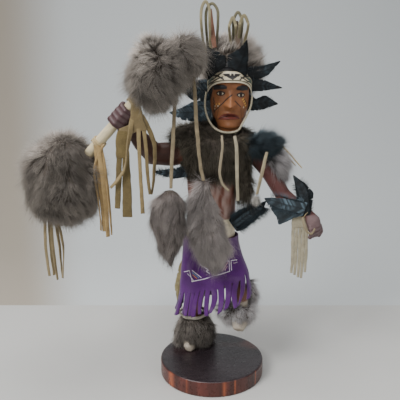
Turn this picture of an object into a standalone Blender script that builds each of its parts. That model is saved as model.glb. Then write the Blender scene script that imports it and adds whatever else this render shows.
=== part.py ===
# A carved wooden dancer doll on a round wood base, dressed with fur, trimmed
# feathers, suede laces, a suede kilt and a fur-tipped staff. Metres, +Z up.
# The figure faces -Y and its raised staff points to -X. The origin is the
# centre of the base's underside.

from functools import partial
from math import cos, exp, pi, radians, sin

import bmesh
import bpy
from mathutils import Vector, noise

# Base
BASE_DIAMETER = 0.128
BASE_THICKNESS = 0.019
BASE_EDGE_BEVEL = 0.0012

# Clearance that neighbouring pieces keep
GAP = 0.0004
WELD = 0.00003  # seams of a cut closer than this are welded
FLATTER = radians(0.7)  # neighbouring faces within this angle become one
SHARE_KEPT = 0.43  # of a cut piece's faces, once the least of them are collapsed
FEW_FACES = 150  # a piece with no more than these keeps them all

# Carved figure: radii of its limbs
THIGH_RADIUS = 0.0150
KNEE_RADIUS = 0.0120
ANKLE_RADIUS = 0.0085
UPPER_ARM_RADIUS = 0.0145
WRIST_RADIUS = 0.0076
FINGER_RADIUS = 0.0036
NECK_RADIUS = 0.0125

# Staff and what is tied to it
STAFF_DIAMETER = 0.0118
STAFF_LOW_END = (-0.1650, -0.0085, 0.2330)
STAFF_HIGH_END = (-0.0620, -0.0360, 0.3430)
KNOT_WALL = 0.0022

# Suede, laces and cords
SUEDE_THICKNESS = 0.0016
LACE_WIDTH = 0.0034
STRAP_DIAMETER = 0.0036
CHIN_LACE_DIAMETER = 0.0026
FACE_CORD_DIAMETER = 0.0022
WRIST_LOOP_DIAMETER = 0.0022
LOOP_THICKNESS = 0.0020
LOOP_STATIONS = 12
LOOP_SPREAD = 0.75  # how much of its way out a loop has made just above its foot

# Headband
BAND_THICKNESS = 0.0012
BAND_LIFT = 0.0013  # off the head's own skin
BAND_LOW_Z = 0.3385
BAND_HIGH_Z = 0.3500

# Kilt
KILT_THICKNESS = 0.0012
KILT_TOP_Z = 0.1540
KILT_FRINGE = 0.0300
KILT_STRIPS = 20

# Feathers, quills and fur
FEATHER_THICKNESS = 0.0011
QUILL_RADIUS = 0.0009
TUFT = 0.15

ORIGIN_AXES = (Vector((1, 0, 0)), Vector((0, 1, 0)), Vector((0, 0, 1)))
SIDE, DEPTH, UP = ORIGIN_AXES


# Places


def at(x, y, z):
    # A point given by its height above the base's top face.
    return Vector((x, y, z + BASE_THICKNESS))


def path_of(points):
    return [at(*point) for point in points]


def smooth_run(points, count):
    # Points read from one smooth curve through the given ones.
    run = []
    last = len(points) - 1
    for k in range(count):
        place = last * k / (count - 1)
        i = min(int(place), last - 1)
        t = place - i
        a = points[max(i - 1, 0)]
        b, c = points[i], points[i + 1]
        d = points[min(i + 2, last)]
        run.append(
            0.5 * ((2 * b) + (c - a) * t + (2 * a - 5 * b + 4 * c - d) * t ** 2
                   + (3 * b - a - 3 * c + d) * t ** 3)
        )
    return run


def read_off(table, place):
    # The smooth value between the (place, value) rows of a table.
    rows = sorted(table)
    if place <= rows[0][0]:
        return rows[0][1]
    for (low, a), (high, b) in zip(rows, rows[1:]):
        if place <= high:
            t = (place - low) / (high - low)
            return a + (b - a) * t * t * (3 - 2 * t)
    return rows[-1][1]


# Closed skins


def closed_skin(rings, first_tip=None, last_tip=None):
    # Joins a run of rings and closes its ends, flat or to a point.
    bm = bmesh.new()
    rows = [[bm.verts.new(point) for point in ring] for ring in rings]
    count = len(rows[0])
    for low, high in zip(rows, rows[1:]):
        for k in range(count):
            n = (k + 1) % count
            bm.faces.new((low[k], low[n], high[n], high[k]))
    for row, tip in ((rows[0], first_tip), (rows[-1], last_tip)):
        if tip is None:
            bm.faces.new(row)
            continue
        pole = bm.verts.new(tip)
        for k in range(count):
            bm.faces.new((row[k], row[(k + 1) % count], pole))
    bmesh.ops.triangulate(bm, faces=bm.faces)
    bmesh.ops.recalc_face_normals(bm, faces=bm.faces)
    return bm


def frames_along(path):
    # The direction of a path at each point, the way across it that stays as
    # near as it can to the picture plane, and the way through it.
    frames = []
    for k, point in enumerate(path):
        ahead = path[min(k + 1, len(path) - 1)] - path[max(k - 1, 0)]
        along = ahead.normalized()
        across = along.cross(DEPTH)
        across = across.normalized() if across.length > 0.01 else SIDE.copy()
        frames.append((point, along, across, across.cross(along)))
    return frames


def limb(points, sizes, sides=10):
    # A rounded limb: ellipses (across, through) along a path, domed at the ends.
    path = path_of(points)
    sizes = [size if isinstance(size, tuple) else (size, size) for size in sizes]
    stations = []
    for (point, along, across, through), (a, b) in zip(frames_along(path), sizes):
        stations.append((point, along, across, through, a, b))
    dome, shoulder = 0.72, 0.66
    first, last = stations[0], stations[-1]
    start = (first[0] - first[1] * first[4] * dome,) + first[1:4] + (first[4] * shoulder, first[5] * shoulder)
    end = (last[0] + last[1] * last[4] * dome,) + last[1:4] + (last[4] * shoulder, last[5] * shoulder)
    rings = []
    for point, along, across, through, a, b in [start] + stations + [end]:
        rings.append([
            point + across * a * cos(2 * pi * k / sides) + through * b * sin(2 * pi * k / sides)
            for k in range(sides)
        ])
    return closed_skin(rings)


def strip(points, widths, thickness, steps=None):
    # A flat strip of suede along a path, its width in the picture plane.
    path = path_of(points)
    steps = steps or 2 * len(path) - 1
    path = smooth_run(path, steps)
    rings = []
    for k, (point, along, across, through) in enumerate(frames_along(path)):
        place = (len(widths) - 1) * k / (steps - 1)
        i = min(int(place), len(widths) - 2)
        half = (widths[i] + (widths[i + 1] - widths[i]) * (place - i)) / 2
        deep = thickness / 2
        rings.append([
            point + across * half * u + through * deep * v
            for u, v in ((1, 1), (-1, 1), (-1, -1), (1, -1))
        ])
    return closed_skin(rings)


def vane(stations):
    # A trimmed feather: at each (x, y, z, plus, minus) the two halves of its
    # vane reach plus and minus to the sides of the quill, thin at the edges.
    thick = FEATHER_THICKNESS / 2
    path = path_of([station[:3] for station in stations])
    edge = thick * 0.35
    rings = []
    for (point, along, across, through), station in zip(frames_along(path), stations):
        plus, minus = station[3:]
        rings.append([
            point + across * u + through * v
            for u, v in ((plus, edge), (0, thick), (-minus, edge),
                         (-minus, -edge), (0, -thick), (plus, -edge))
        ])
    return closed_skin(rings)


def fur(stations, columns=16, tuft=TUFT, seed=0.0, top=0.004, bottom=0.004, flat_foot=False):
    # Fur in tufts: rings (x, y, z, wide, deep) from the top down, in which
    # every second point stands out and hangs a little, so the locks show.
    rings = []
    for row, (x, y, z, wide, deep) in enumerate(stations):
        ring = []
        for k in range(columns):
            angle = 2 * pi * (k + 0.5 * (row % 2)) / columns
            lock = (k + row) % 2
            rough = noise.noise(Vector((cos(angle) * 2 + seed, sin(angle) * 2, row * 0.7)))
            swell = 1 + tuft * (0.5 if lock else -0.5) + tuft * rough
            hang = 0.0 if flat_foot and row == len(stations) - 1 else lock * tuft * wide * 0.5
            ring.append(
                at(x, y, z - hang)
                + SIDE * cos(angle) * wide * swell
                + DEPTH * sin(angle) * deep * swell
            )
        rings.append(ring)
    first, last = stations[0], stations[-1]
    crown = at(first[0], first[1], first[2] + top)
    foot = None if flat_foot else at(last[0], last[1], last[2] - bottom)
    return closed_skin(rings, crown, foot)


def fur_ball(centre, radii, rows, **choices):
    # An ellipsoid of fur, as rings from its top down.
    stations = []
    for row in range(1, rows):
        angle = pi * row / rows
        stations.append((
            centre[0], centre[1], centre[2] + radii[2] * cos(angle),
            radii[0] * sin(angle), radii[1] * sin(angle),
        ))
    cap = radii[2] * (1 - cos(pi / rows)) * 0.8
    return fur(stations, top=cap, bottom=cap, **choices)


# Pieces in the scene


def new_collection(name):
    collection = bpy.data.collections.new(name)
    bpy.context.scene.collection.children.link(collection)
    return collection


def material(name, colour, roughness, metallic=0.0):
    made = bpy.data.materials.new(name)
    made.use_nodes = True
    shader = made.node_tree.nodes["Principled BSDF"]
    shader.inputs["Base Color"].default_value = (*colour, 1.0)
    shader.inputs["Roughness"].default_value = roughness
    shader.inputs["Metallic"].default_value = metallic
    return made


def object_from(bm, name, collection):
    mesh = bpy.data.meshes.new(name)
    bm.to_mesh(mesh)
    bm.free()
    made = bpy.data.objects.new(name, mesh)
    collection.objects.link(made)
    return made


def apply_modifiers(made):
    # Replaces an object's mesh by its evaluated one.
    depsgraph = bpy.context.evaluated_depsgraph_get()
    mesh = bpy.data.meshes.new_from_object(made.evaluated_get(depsgraph))
    made.modifiers.clear()
    made.data = mesh


def tool_from(bm, name):
    tool = object_from(bm, name, CUTTERS)
    tool.hide_render = True
    tool.display_type = "WIRE"
    return tool


def combine(made, tool, operation):
    # One exact Boolean with a hidden tool. If a fold in the tool's own skin
    # empties the piece, it is done again with such folds resolved.
    before = made.data
    for folds in (False, True):
        made.data = before
        step = made.modifiers.new(operation.title(), "BOOLEAN")
        step.operation = operation
        step.solver = "EXACT"
        step.use_self = folds
        step.object = tool
        apply_modifiers(made)
        if made.data.vertices:
            return


def corners(mesh):
    points = [v.co for v in mesh.vertices]
    low = [min(point[axis] for point in points) for axis in range(3)]
    high = [max(point[axis] for point in points) for axis in range(3)]
    return low, high


def cut_back(made):
    # Cuts a piece back from every piece placed before it that it can reach.
    for tool, (low, high) in PLACED:
        ours_low, ours_high = corners(made.data)
        if all(low[axis] < ours_high[axis] and ours_low[axis] < high[axis] for axis in range(3)):
            combine(made, tool, "DIFFERENCE")


def main_body(bm):
    # The points of the largest connected body of a mesh.
    left = set(bm.verts)
    bodies = []
    while left:
        body = {left.pop()}
        reach = list(body)
        while reach:
            for edge in reach.pop().link_edges:
                for vert in edge.verts:
                    if vert in left:
                        left.discard(vert)
                        body.add(vert)
                        reach.append(vert)
        bodies.append(body)
    return max(bodies, key=len)


def is_closed(bm):
    return all(len(edge.link_faces) == 2 for edge in bm.edges)


def tidy(made):
    # Welds the cut's seams, joins flat neighbours and drops cut-off crumbs. A
    # way that would open the skin is followed by a finer one.
    ways = [(WELD, FLATTER), (WELD / 5, FLATTER), (WELD / 5, 0.0), (0.0, 0.0)]
    for weld, flatter, split in [(*way, split) for way in ways for split in ("BEAUTY", "EAR_CLIP")]:
        bm = bmesh.new()
        bm.from_mesh(made.data)
        if weld:
            bmesh.ops.remove_doubles(bm, verts=bm.verts, dist=weld)
            bmesh.ops.dissolve_degenerate(bm, edges=bm.edges, dist=weld)
        if flatter:
            bmesh.ops.dissolve_limit(bm, angle_limit=flatter, verts=bm.verts, edges=bm.edges)
        bmesh.ops.triangulate(bm, faces=bm.faces, ngon_method=split)
        body = main_body(bm)
        bmesh.ops.delete(bm, geom=[v for v in bm.verts if v not in body], context="VERTS")
        if is_closed(bm):
            break
        bm.free()
    bmesh.ops.recalc_face_normals(bm, faces=bm.faces)
    bm.to_mesh(made.data)
    bm.free()


def thin_out(made, share):
    # Collapses the edges that matter least to the form, if it stays closed.
    before = made.data
    fewer = made.modifiers.new("Fewer faces", "DECIMATE")
    fewer.ratio = share
    apply_modifiers(made)
    bm = bmesh.new()
    bm.from_mesh(made.data)
    if not is_closed(bm):
        made.data = before
    bm.free()


def place(made):
    # Keeps a copy of a piece, grown by the gap, as a cutter for later neighbours.
    bm = bmesh.new()
    bm.from_mesh(made.data)
    bm.normal_update()
    shifts = [vert.normal * GAP * min(vert.calc_shell_factor(), 2.0) for vert in bm.verts]
    for vert, shift in zip(bm.verts, shifts):
        vert.co += shift
    tool = tool_from(bm, made.name + "_clearance")
    PLACED.append((tool, corners(tool.data)))


PLACED = []  # the cutters of the pieces made so far, each with its box


def make(name, forms, finish, share=SHARE_KEPT):
    # Joins a piece from its forms, and cuts it back from what is there already.
    made = object_from(forms[0](), name, PARTS)
    for form in forms[1:]:
        tool = tool_from(form(), name + "_form")
        combine(made, tool, "UNION")
        bpy.data.objects.remove(tool)
    if share < 1 and len(made.data.polygons) > FEW_FACES:
        tidy(made)
        thin_out(made, share)
    cut_back(made)
    tidy(made)
    made.data.materials.clear()
    made.data.materials.append(finish)
    place(made)
    return made


def cord_form(points, diameter, spacing):
    # A lace or cord: a tube along a smooth curve through its route's points.
    route = path_of(points)
    length = sum((b - a).length for a, b in zip(route, route[1:]))
    count = max(5, round(length / (diameter * spacing)) + 1)
    curve = bpy.data.curves.new("cord", "CURVE")
    curve.dimensions = "3D"
    curve.bevel_depth = diameter / 2
    curve.bevel_resolution = 2
    curve.use_fill_caps = True
    spline = curve.splines.new("POLY")
    run = smooth_run(route, count)
    spline.points.add(len(run) - 1)
    for point, place_of in zip(run, spline.points):
        place_of.co = (*point, 1.0)
    drawn = bpy.data.objects.new("cord", curve)
    PARTS.objects.link(drawn)
    depsgraph = bpy.context.evaluated_depsgraph_get()
    mesh = bpy.data.meshes.new_from_object(drawn.evaluated_get(depsgraph))
    bpy.data.objects.remove(drawn)
    bm = bmesh.new()
    bm.from_mesh(mesh)
    bmesh.ops.remove_doubles(bm, verts=bm.verts, dist=0.00001)
    bmesh.ops.recalc_face_normals(bm, faces=bm.faces)
    return bm


def make_cord(name, points, diameter, finish, spacing=3.0):
    make(name, [partial(cord_form, points, diameter, spacing)], finish)


# Base


def base_slab():
    bm = bmesh.new()
    bmesh.ops.create_cone(
        bm, cap_ends=True, segments=40,
        radius1=BASE_DIAMETER / 2, radius2=BASE_DIAMETER / 2, depth=BASE_THICKNESS,
    )
    bmesh.ops.translate(bm, verts=bm.verts, vec=UP * BASE_THICKNESS / 2)
    return bm


def make_base():
    made = make("base", [base_slab], FINISHES["base_wood"])
    edge = made.modifiers.new("Eased edge", "BEVEL")
    edge.width = BASE_EDGE_BEVEL
    edge.segments = 1
    edge.limit_method = "ANGLE"
    edge.angle_limit = radians(50)


# Carved figure. Every place below is (x, y, height above the base's top).

TORSO = [  # x, y, height, half width, half depth
    (-0.0030, 0.0210, 0.0860, 0.0220, 0.0180),
    (-0.0030, 0.0200, 0.1020, 0.0285, 0.0220),
    (-0.0020, 0.0200, 0.1390, 0.0305, 0.0235),
    (-0.0012, 0.0200, 0.1650, 0.0295, 0.0222),
    (0.0000, 0.0200, 0.1960, 0.0290, 0.0220),
    (0.0020, 0.0200, 0.2260, 0.0330, 0.0235),
    (0.0050, 0.0200, 0.2490, 0.0380, 0.0225),
    (0.0090, 0.0195, 0.2630, 0.0360, 0.0195),
    (0.0130, 0.0190, 0.2740, 0.0230, 0.0155),
    (0.0150, 0.0180, 0.2810, 0.0135, 0.0125),
]

RIGHT_ARM = [  # the arm that holds the staff up
    (-0.0200, 0.0200, 0.2590), (-0.0480, 0.0140, 0.2540), (-0.0690, 0.0060, 0.2560),
    (-0.0800, -0.0060, 0.2700), (-0.0925, -0.0200, 0.2890),
]
LEFT_ARM = [
    (0.0380, 0.0200, 0.2640), (0.0560, 0.0170, 0.2510), (0.0690, 0.0120, 0.2320),
    (0.0843, 0.0060, 0.2060), (0.1071, -0.0030, 0.1888), (0.1140, -0.0060, 0.1830),
]
RIGHT_LEG = [  # the leg it stands on
    (-0.0170, 0.0210, 0.1200), (-0.0190, 0.0200, 0.0840), (-0.0220, 0.0300, 0.0460),
    (-0.0235, 0.0360, 0.0160),
]
LEFT_LEG = [  # the raised leg
    (0.0130, 0.0180, 0.1250), (0.0280, -0.0060, 0.1030), (0.0340, 0.0000, 0.0840),
    (0.0360, 0.0000, 0.0620),
]
RIGHT_FOOT = [(-0.0225, 0.0450, 0.0100), (-0.0250, 0.0300, 0.0100), (-0.0285, 0.0135, 0.0060)]
LEFT_FOOT = [(0.0360, 0.0020, 0.0620), (0.0345, -0.0080, 0.0550), (0.0328, -0.0150, 0.0490)]

HEAD_X = 0.0190
HEAD_Y = 0.0150
HEAD_ROWS = {  # height: half width, reach to the front, reach to the back
    "wide": [(0.2800, 0.0090), (0.2840, 0.0125), (0.2900, 0.0165), (0.3000, 0.0198), (0.3120, 0.0222),
             (0.3260, 0.0235), (0.3380, 0.0235), (0.3460, 0.0215), (0.3540, 0.0165), (0.3600, 0.0095)],
    "front": [(0.2800, 0.0160), (0.2840, 0.0260), (0.2900, 0.0290), (0.3000, 0.0300), (0.3120, 0.0305),
              (0.3260, 0.0305), (0.3380, 0.0305), (0.3460, 0.0275), (0.3540, 0.0200), (0.3600, 0.0110)],
    "back": [(0.2800, 0.0110), (0.2840, 0.0150), (0.2900, 0.0200), (0.3000, 0.0250), (0.3120, 0.0290),
             (0.3260, 0.0320), (0.3380, 0.0315), (0.3460, 0.0280), (0.3540, 0.0210), (0.3600, 0.0120)],
}
HEAD_TOP_Z = 0.3620
FACE_BUMPS = [  # side of the nose, height, half width, half height, how far out
    (0.0110, 0.3322, 0.0070, 0.0026, 0.0026),
    (0.0118, 0.3262, 0.0062, 0.0040, -0.0026),
    (0.0118, 0.3262, 0.0036, 0.0020, 0.0016),
    (0.0150, 0.3120, 0.0050, 0.0060, 0.0018),
    (0.0000, 0.3042, 0.0080, 0.0017, 0.0020),
    (0.0000, 0.2985, 0.0070, 0.0018, 0.0022),
    (0.0000, 0.3013, 0.0100, 0.0009, -0.0020),
    (0.0000, 0.2900, 0.0065, 0.0038, 0.0022),
]
NOSE_TOP_Z = 0.3300
NOSE_TIP_Z = 0.3110
NOSE_REACH = 0.0100


def bump(distance, width):
    return exp(-((distance / width) ** 2))


def face_relief(x, z):
    # How far the carving stands out of the face at a place on it.
    out = 0.0
    for side, height, wide, high, reach in FACE_BUMPS:
        droop = 0.04 * x * x / 0.01 if side == 0.0 and height < 0.3060 else 0.0
        rise = bump(z - height + droop, high)
        out += reach * rise * bump(abs(x) - side, wide)
    run = (NOSE_TOP_Z - z) / (NOSE_TOP_Z - NOSE_TIP_Z)
    if 0 < run <= 1:
        out += NOSE_REACH * run * bump(x, 0.0030 + 0.0018 * run)
        out += 0.0030 * bump(run - 0.9, 0.16) * bump(abs(x) - 0.0052, 0.0024)
    elif run > 1:
        out += NOSE_REACH * bump(run - 1, 0.16) * bump(x, 0.0048)
    return out


def head_reach(z, angle):
    # The head's skin at a height and at an angle from the front, before relief.
    wide = read_off(HEAD_ROWS["wide"], z)
    deep = read_off(HEAD_ROWS["front" if cos(angle) > 0 else "back"], z)
    square = 0.86 if cos(angle) > 0 else 1.0
    side = abs(sin(angle)) ** square * (1 if sin(angle) >= 0 else -1)
    fore = abs(cos(angle)) ** square * (1 if cos(angle) >= 0 else -1)
    return side * wide, fore * deep


def head():
    angles = [radians(a) for a in (
        -66, -54, -44, -35, -27, -20, -14, -9, -4.5, 0, 4.5, 9, 14, 20, 27, 35, 44, 54, 66,
        85, 112, 146, 180, 214, 248, 275)]
    heights = [0.2800, 0.2830] + [0.2862 + 0.0025 * k for k in range(20)]
    heights += [0.3390, 0.3450, 0.3510, 0.3570]
    rings = []
    for z in heights:
        ring = []
        for angle in angles:
            side, fore = head_reach(z, angle)
            front = max(0.0, cos(angle)) ** 0.5
            fore += face_relief(side, z) * front
            ring.append(at(HEAD_X + side, HEAD_Y - fore, z))
        rings.append(ring)
    foot = at(HEAD_X, HEAD_Y, heights[0] - 0.001)
    return closed_skin(rings, foot, at(HEAD_X, HEAD_Y, HEAD_TOP_Z))


def torso():
    sides = 16
    rings = []
    for x, y, z, wide, deep in TORSO:
        rings.append([
            at(x, y, z) + SIDE * wide * cos(2 * pi * k / sides) + DEPTH * deep * sin(2 * pi * k / sides)
            for k in range(sides)
        ])
    return closed_skin(rings)


def staff_place(share):
    return Vector(STAFF_LOW_END).lerp(Vector(STAFF_HIGH_END), share)


FIST_SHARE = 0.625  # where along the staff the fist is
FINGER_PITCH = 0.0064


def fist_finger(number):
    # One finger curled over the front of the staff, as an arc about its axis.
    along = (Vector(STAFF_HIGH_END) - Vector(STAFF_LOW_END)).normalized()
    centre = staff_place(FIST_SHARE) + along * FINGER_PITCH * (number - 1.5)
    out = DEPTH - along * DEPTH.dot(along)
    out.normalize()
    side = along.cross(out)
    reach = STAFF_DIAMETER / 2 + FINGER_RADIUS * 0.8
    points = []
    for degrees in (-60, -120, -180, -240):
        a = radians(degrees)
        points.append(tuple(centre + side * reach * cos(a + pi / 2) + out * reach * sin(a + pi / 2)))
    return limb(points, [FINGER_RADIUS] * 4, sides=8)


def right_palm():
    middle = staff_place(FIST_SHARE)
    along = (Vector(STAFF_HIGH_END) - Vector(STAFF_LOW_END)).normalized()
    back = Vector((0.0020, 0.0045, -0.0040))
    ends = [tuple(middle + back + along * step) for step in (-0.0085, 0.0, 0.0085)]
    return limb(ends, [(0.0085, 0.0085), (0.0100, 0.0095), (0.0085, 0.0085)])


def left_palm():
    points = [(0.1120, -0.0050, 0.1840), (0.1180, -0.0075, 0.1770), (0.1205, -0.0085, 0.1700)]
    return limb(points, [(0.0080, 0.0072), (0.0098, 0.0085), (0.0088, 0.0080)])


def left_finger(number):
    # The relaxed fingers hang side by side and curl in at their tips.
    x = 0.1150 + 0.0042 * number
    y = -0.0140 + 0.0032 * number
    z = 0.1725 - 0.0010 * abs(number - 1.5)
    points = [(x, y, z), (x + 0.0012, y - 0.0016, z - 0.0065), (x - 0.0006, y - 0.0002, z - 0.0118)]
    return limb(points, [0.0036, 0.0034, 0.0030], sides=6)


FIGURE_FORMS = [
    torso,
    partial(limb, [(0.0135, 0.0190, 0.2700), (0.0180, 0.0165, 0.2920)], [NECK_RADIUS] * 2),
    head,
    partial(limb, RIGHT_ARM, [UPPER_ARM_RADIUS, UPPER_ARM_RADIUS, 0.0140, 0.0115, WRIST_RADIUS]),
    partial(limb, LEFT_ARM, [UPPER_ARM_RADIUS, 0.0130, 0.0105, 0.0095, WRIST_RADIUS, WRIST_RADIUS]),
    partial(limb, RIGHT_LEG, [THIGH_RADIUS, KNEE_RADIUS, ANKLE_RADIUS, ANKLE_RADIUS]),
    partial(limb, LEFT_LEG, [THIGH_RADIUS, KNEE_RADIUS, 0.0105, ANKLE_RADIUS]),
    partial(limb, RIGHT_FOOT, [(0.0110, 0.0100), (0.0115, 0.0100), (0.0085, 0.0060)]),
    partial(limb, LEFT_FOOT, [(0.0100, 0.0095), (0.0105, 0.0085), (0.0098, 0.0070)]),
    right_palm,
    left_palm,
] + [partial(fist_finger, number) for number in range(4)] + [
    partial(left_finger, number) for number in range(4)
]


def make_figure():
    make("carved_figure", FIGURE_FORMS, FINISHES["carved_wood"])


# Staff


def staff_rod():
    path = path_of([STAFF_LOW_END, STAFF_HIGH_END])
    radius = STAFF_DIAMETER / 2
    rings = []
    for point, along, across, through in frames_along(path):
        rings.append([
            point + across * radius * cos(2 * pi * k / 16) + through * radius * sin(2 * pi * k / 16)
            for k in range(16)
        ])
    return closed_skin(rings)


def sleeve_on_staff(share, length):
    # The solid core of a knot or wrap tied round the staff.
    along = (Vector(STAFF_HIGH_END) - Vector(STAFF_LOW_END)).normalized()
    middle = staff_place(share)
    ends = [tuple(middle - along * length / 2), tuple(middle), tuple(middle + along * length / 2)]
    radius = STAFF_DIAMETER / 2 + KNOT_WALL
    return limb(ends, [radius * 0.94, radius * 1.1, radius * 0.94])


# Headband and face cord


def band_form():
    # A band over the forehead: an arc of the head's own outline, set off it.
    angles = [radians(-84 + 12 * k) for k in range(15)]
    rings = []
    for angle in angles:
        ends = []
        for z in (BAND_LOW_Z, BAND_HIGH_Z):
            drop = 0.0130 * (abs(angle) / radians(84)) ** 2.4
            side, fore = head_reach(z - drop, angle)
            flat = Vector((side, -fore, 0))
            out = flat.normalized()
            middle = at(HEAD_X, HEAD_Y, z - drop) + flat
            ends.append((middle + out * BAND_LIFT, middle + out * (BAND_LIFT + BAND_THICKNESS)))
        (low_in, low_out), (high_in, high_out) = ends
        rings.append([low_in, low_out, high_out, high_in])
    return closed_skin(rings)


FACE_CORD_ROUTE = [
    (-0.0075, 0.0040, 0.3270), (-0.0090, 0.0020, 0.3180), (-0.0085, -0.0020, 0.3060),
    (-0.0045, -0.0080, 0.2940), (0.0020, -0.0125, 0.2850), (0.0100, -0.0150, 0.2805),
    (0.0190, -0.0158, 0.2795), (0.0280, -0.0145, 0.2815), (0.0345, -0.0105, 0.2900),
    (0.0395, -0.0055, 0.3000), (0.0440, 0.0000, 0.3120), (0.0452, 0.0040, 0.3230),
]

# Laces and straps

CHIN_LACES = {
    "chin_lace_right": [
        (0.0095, -0.0185, 0.2795), (0.0098, -0.0225, 0.2740), (0.0100, -0.0245, 0.2650),
        (0.0080, -0.0250, 0.2500), (0.0075, -0.0255, 0.2380), (0.0105, -0.0260, 0.2260),
        (0.0180, -0.0265, 0.2180),
    ],
    "chin_lace_left": [
        (0.0240, -0.0185, 0.2790), (0.0248, -0.0225, 0.2740), (0.0262, -0.0245, 0.2640),
        (0.0268, -0.0250, 0.2500), (0.0270, -0.0250, 0.2350), (0.0276, -0.0245, 0.2200),
        (0.0282, -0.0240, 0.2060),
    ],
}
SHOULDER_LACE = [
    (0.0606, -0.0185, 0.2610), (0.0590, -0.0195, 0.2540), (0.0565, -0.0190, 0.2420),
    (0.0540, -0.0180, 0.2290), (0.0520, -0.0170, 0.2180), (0.0512, -0.0165, 0.2120),
]
STRAPS = {  # each strap starts in the staff's fur and ends on its tail's top
    "outer": [(-0.0412, -0.0360, 0.3300), (-0.0425, -0.0365, 0.3050), (-0.0440, -0.0370, 0.2800),
              (-0.0455, -0.0370, 0.2550), (-0.0465, -0.0370, 0.2380)],
    "inner": [(-0.0225, -0.0330, 0.3500), (-0.0205, -0.0335, 0.3300), (-0.0190, -0.0340, 0.3000),
              (-0.0170, -0.0345, 0.2750), (-0.0145, -0.0345, 0.2500)],
}

# Kilt

KILT_CENTRE = (-0.0012, 0.0200)
KNEE_TURN = 44.0  # degrees from the front, towards the raised leg
KNEE_PUSH = 0.0190
KILT_HEM = [  # degrees from the front round by the raised leg, height of the hem
    (0, 0.0610), (30, 0.0740), (50, 0.0840), (75, 0.0920), (100, 0.1040), (130, 0.0900),
    (160, 0.0700), (180, 0.0600), (225, 0.0540), (270, 0.0470), (315, 0.0530), (360, 0.0610),
]


def kilt_point(degrees, z):
    # The kilt is a flared oval, pushed out where the raised knee is.
    fall = max(0.0, (KILT_TOP_Z - z) / 0.105)
    angle = radians(degrees)
    turn = (degrees - KNEE_TURN + 180) % 360 - 180
    lower = min(1.0, max(0.0, (KILT_TOP_Z - 0.006 - z) / 0.040))
    push = KNEE_PUSH * bump(turn, 38.0) * lower * lower * (3 - 2 * lower)
    fold = 0.0009 * sin(angle * 9) * min(1.0, fall * 1.6)
    wide = 0.0332 + 0.0090 * fall + push + fold
    deep = 0.0262 + 0.0100 * fall + push + fold
    return at(KILT_CENTRE[0] + wide * sin(angle), KILT_CENTRE[1] - deep * cos(angle), z)


def kilt_surface(fringed=True):
    # An open surface: whole above the fringe, and cut into strips below it.
    bm = bmesh.new()
    columns = []
    edges = []
    share = 0.86
    for k in range(KILT_STRIPS):
        start = 360 * k / KILT_STRIPS
        edges.append((start, True))
        edges.append((start + 360 * share / KILT_STRIPS, False))
    for degrees, opens in edges:
        hem = read_off(KILT_HEM, degrees % 360)
        slit = hem + KILT_FRINGE
        top = KILT_TOP_Z
        rows = [top, top - (top - slit) * 0.34, top - (top - slit) * 0.68, slit, hem]
        columns.append([bm.verts.new(kilt_point(degrees, z)) for z in rows])
    count = len(columns)
    for k in range(count):
        near, far = columns[k], columns[(k + 1) % count]
        is_strip = edges[k][1]
        rows = 4 if is_strip or not fringed else 3
        for row in range(rows):
            bm.faces.new((near[row], near[row + 1], far[row + 1], far[row]))
    bmesh.ops.recalc_face_normals(bm, faces=bm.faces)
    return bm


def thicken(made, thickness):
    wall = made.modifiers.new("Suede", "SOLIDIFY")
    wall.thickness = thickness
    wall.offset = 0.0
    apply_modifiers(made)


def make_kilt():
    made = object_from(kilt_surface(), "kilt", PARTS)
    thicken(made, KILT_THICKNESS)
    cut_back(made)
    tidy(made)
    made.data.materials.clear()
    made.data.materials.append(FINISHES["purple_suede"])
    whole = object_from(kilt_surface(fringed=False), "kilt_whole", CUTTERS)
    thicken(whole, KILT_THICKNESS)
    place(whole)
    bpy.data.objects.remove(whole)


# Feathers

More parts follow.
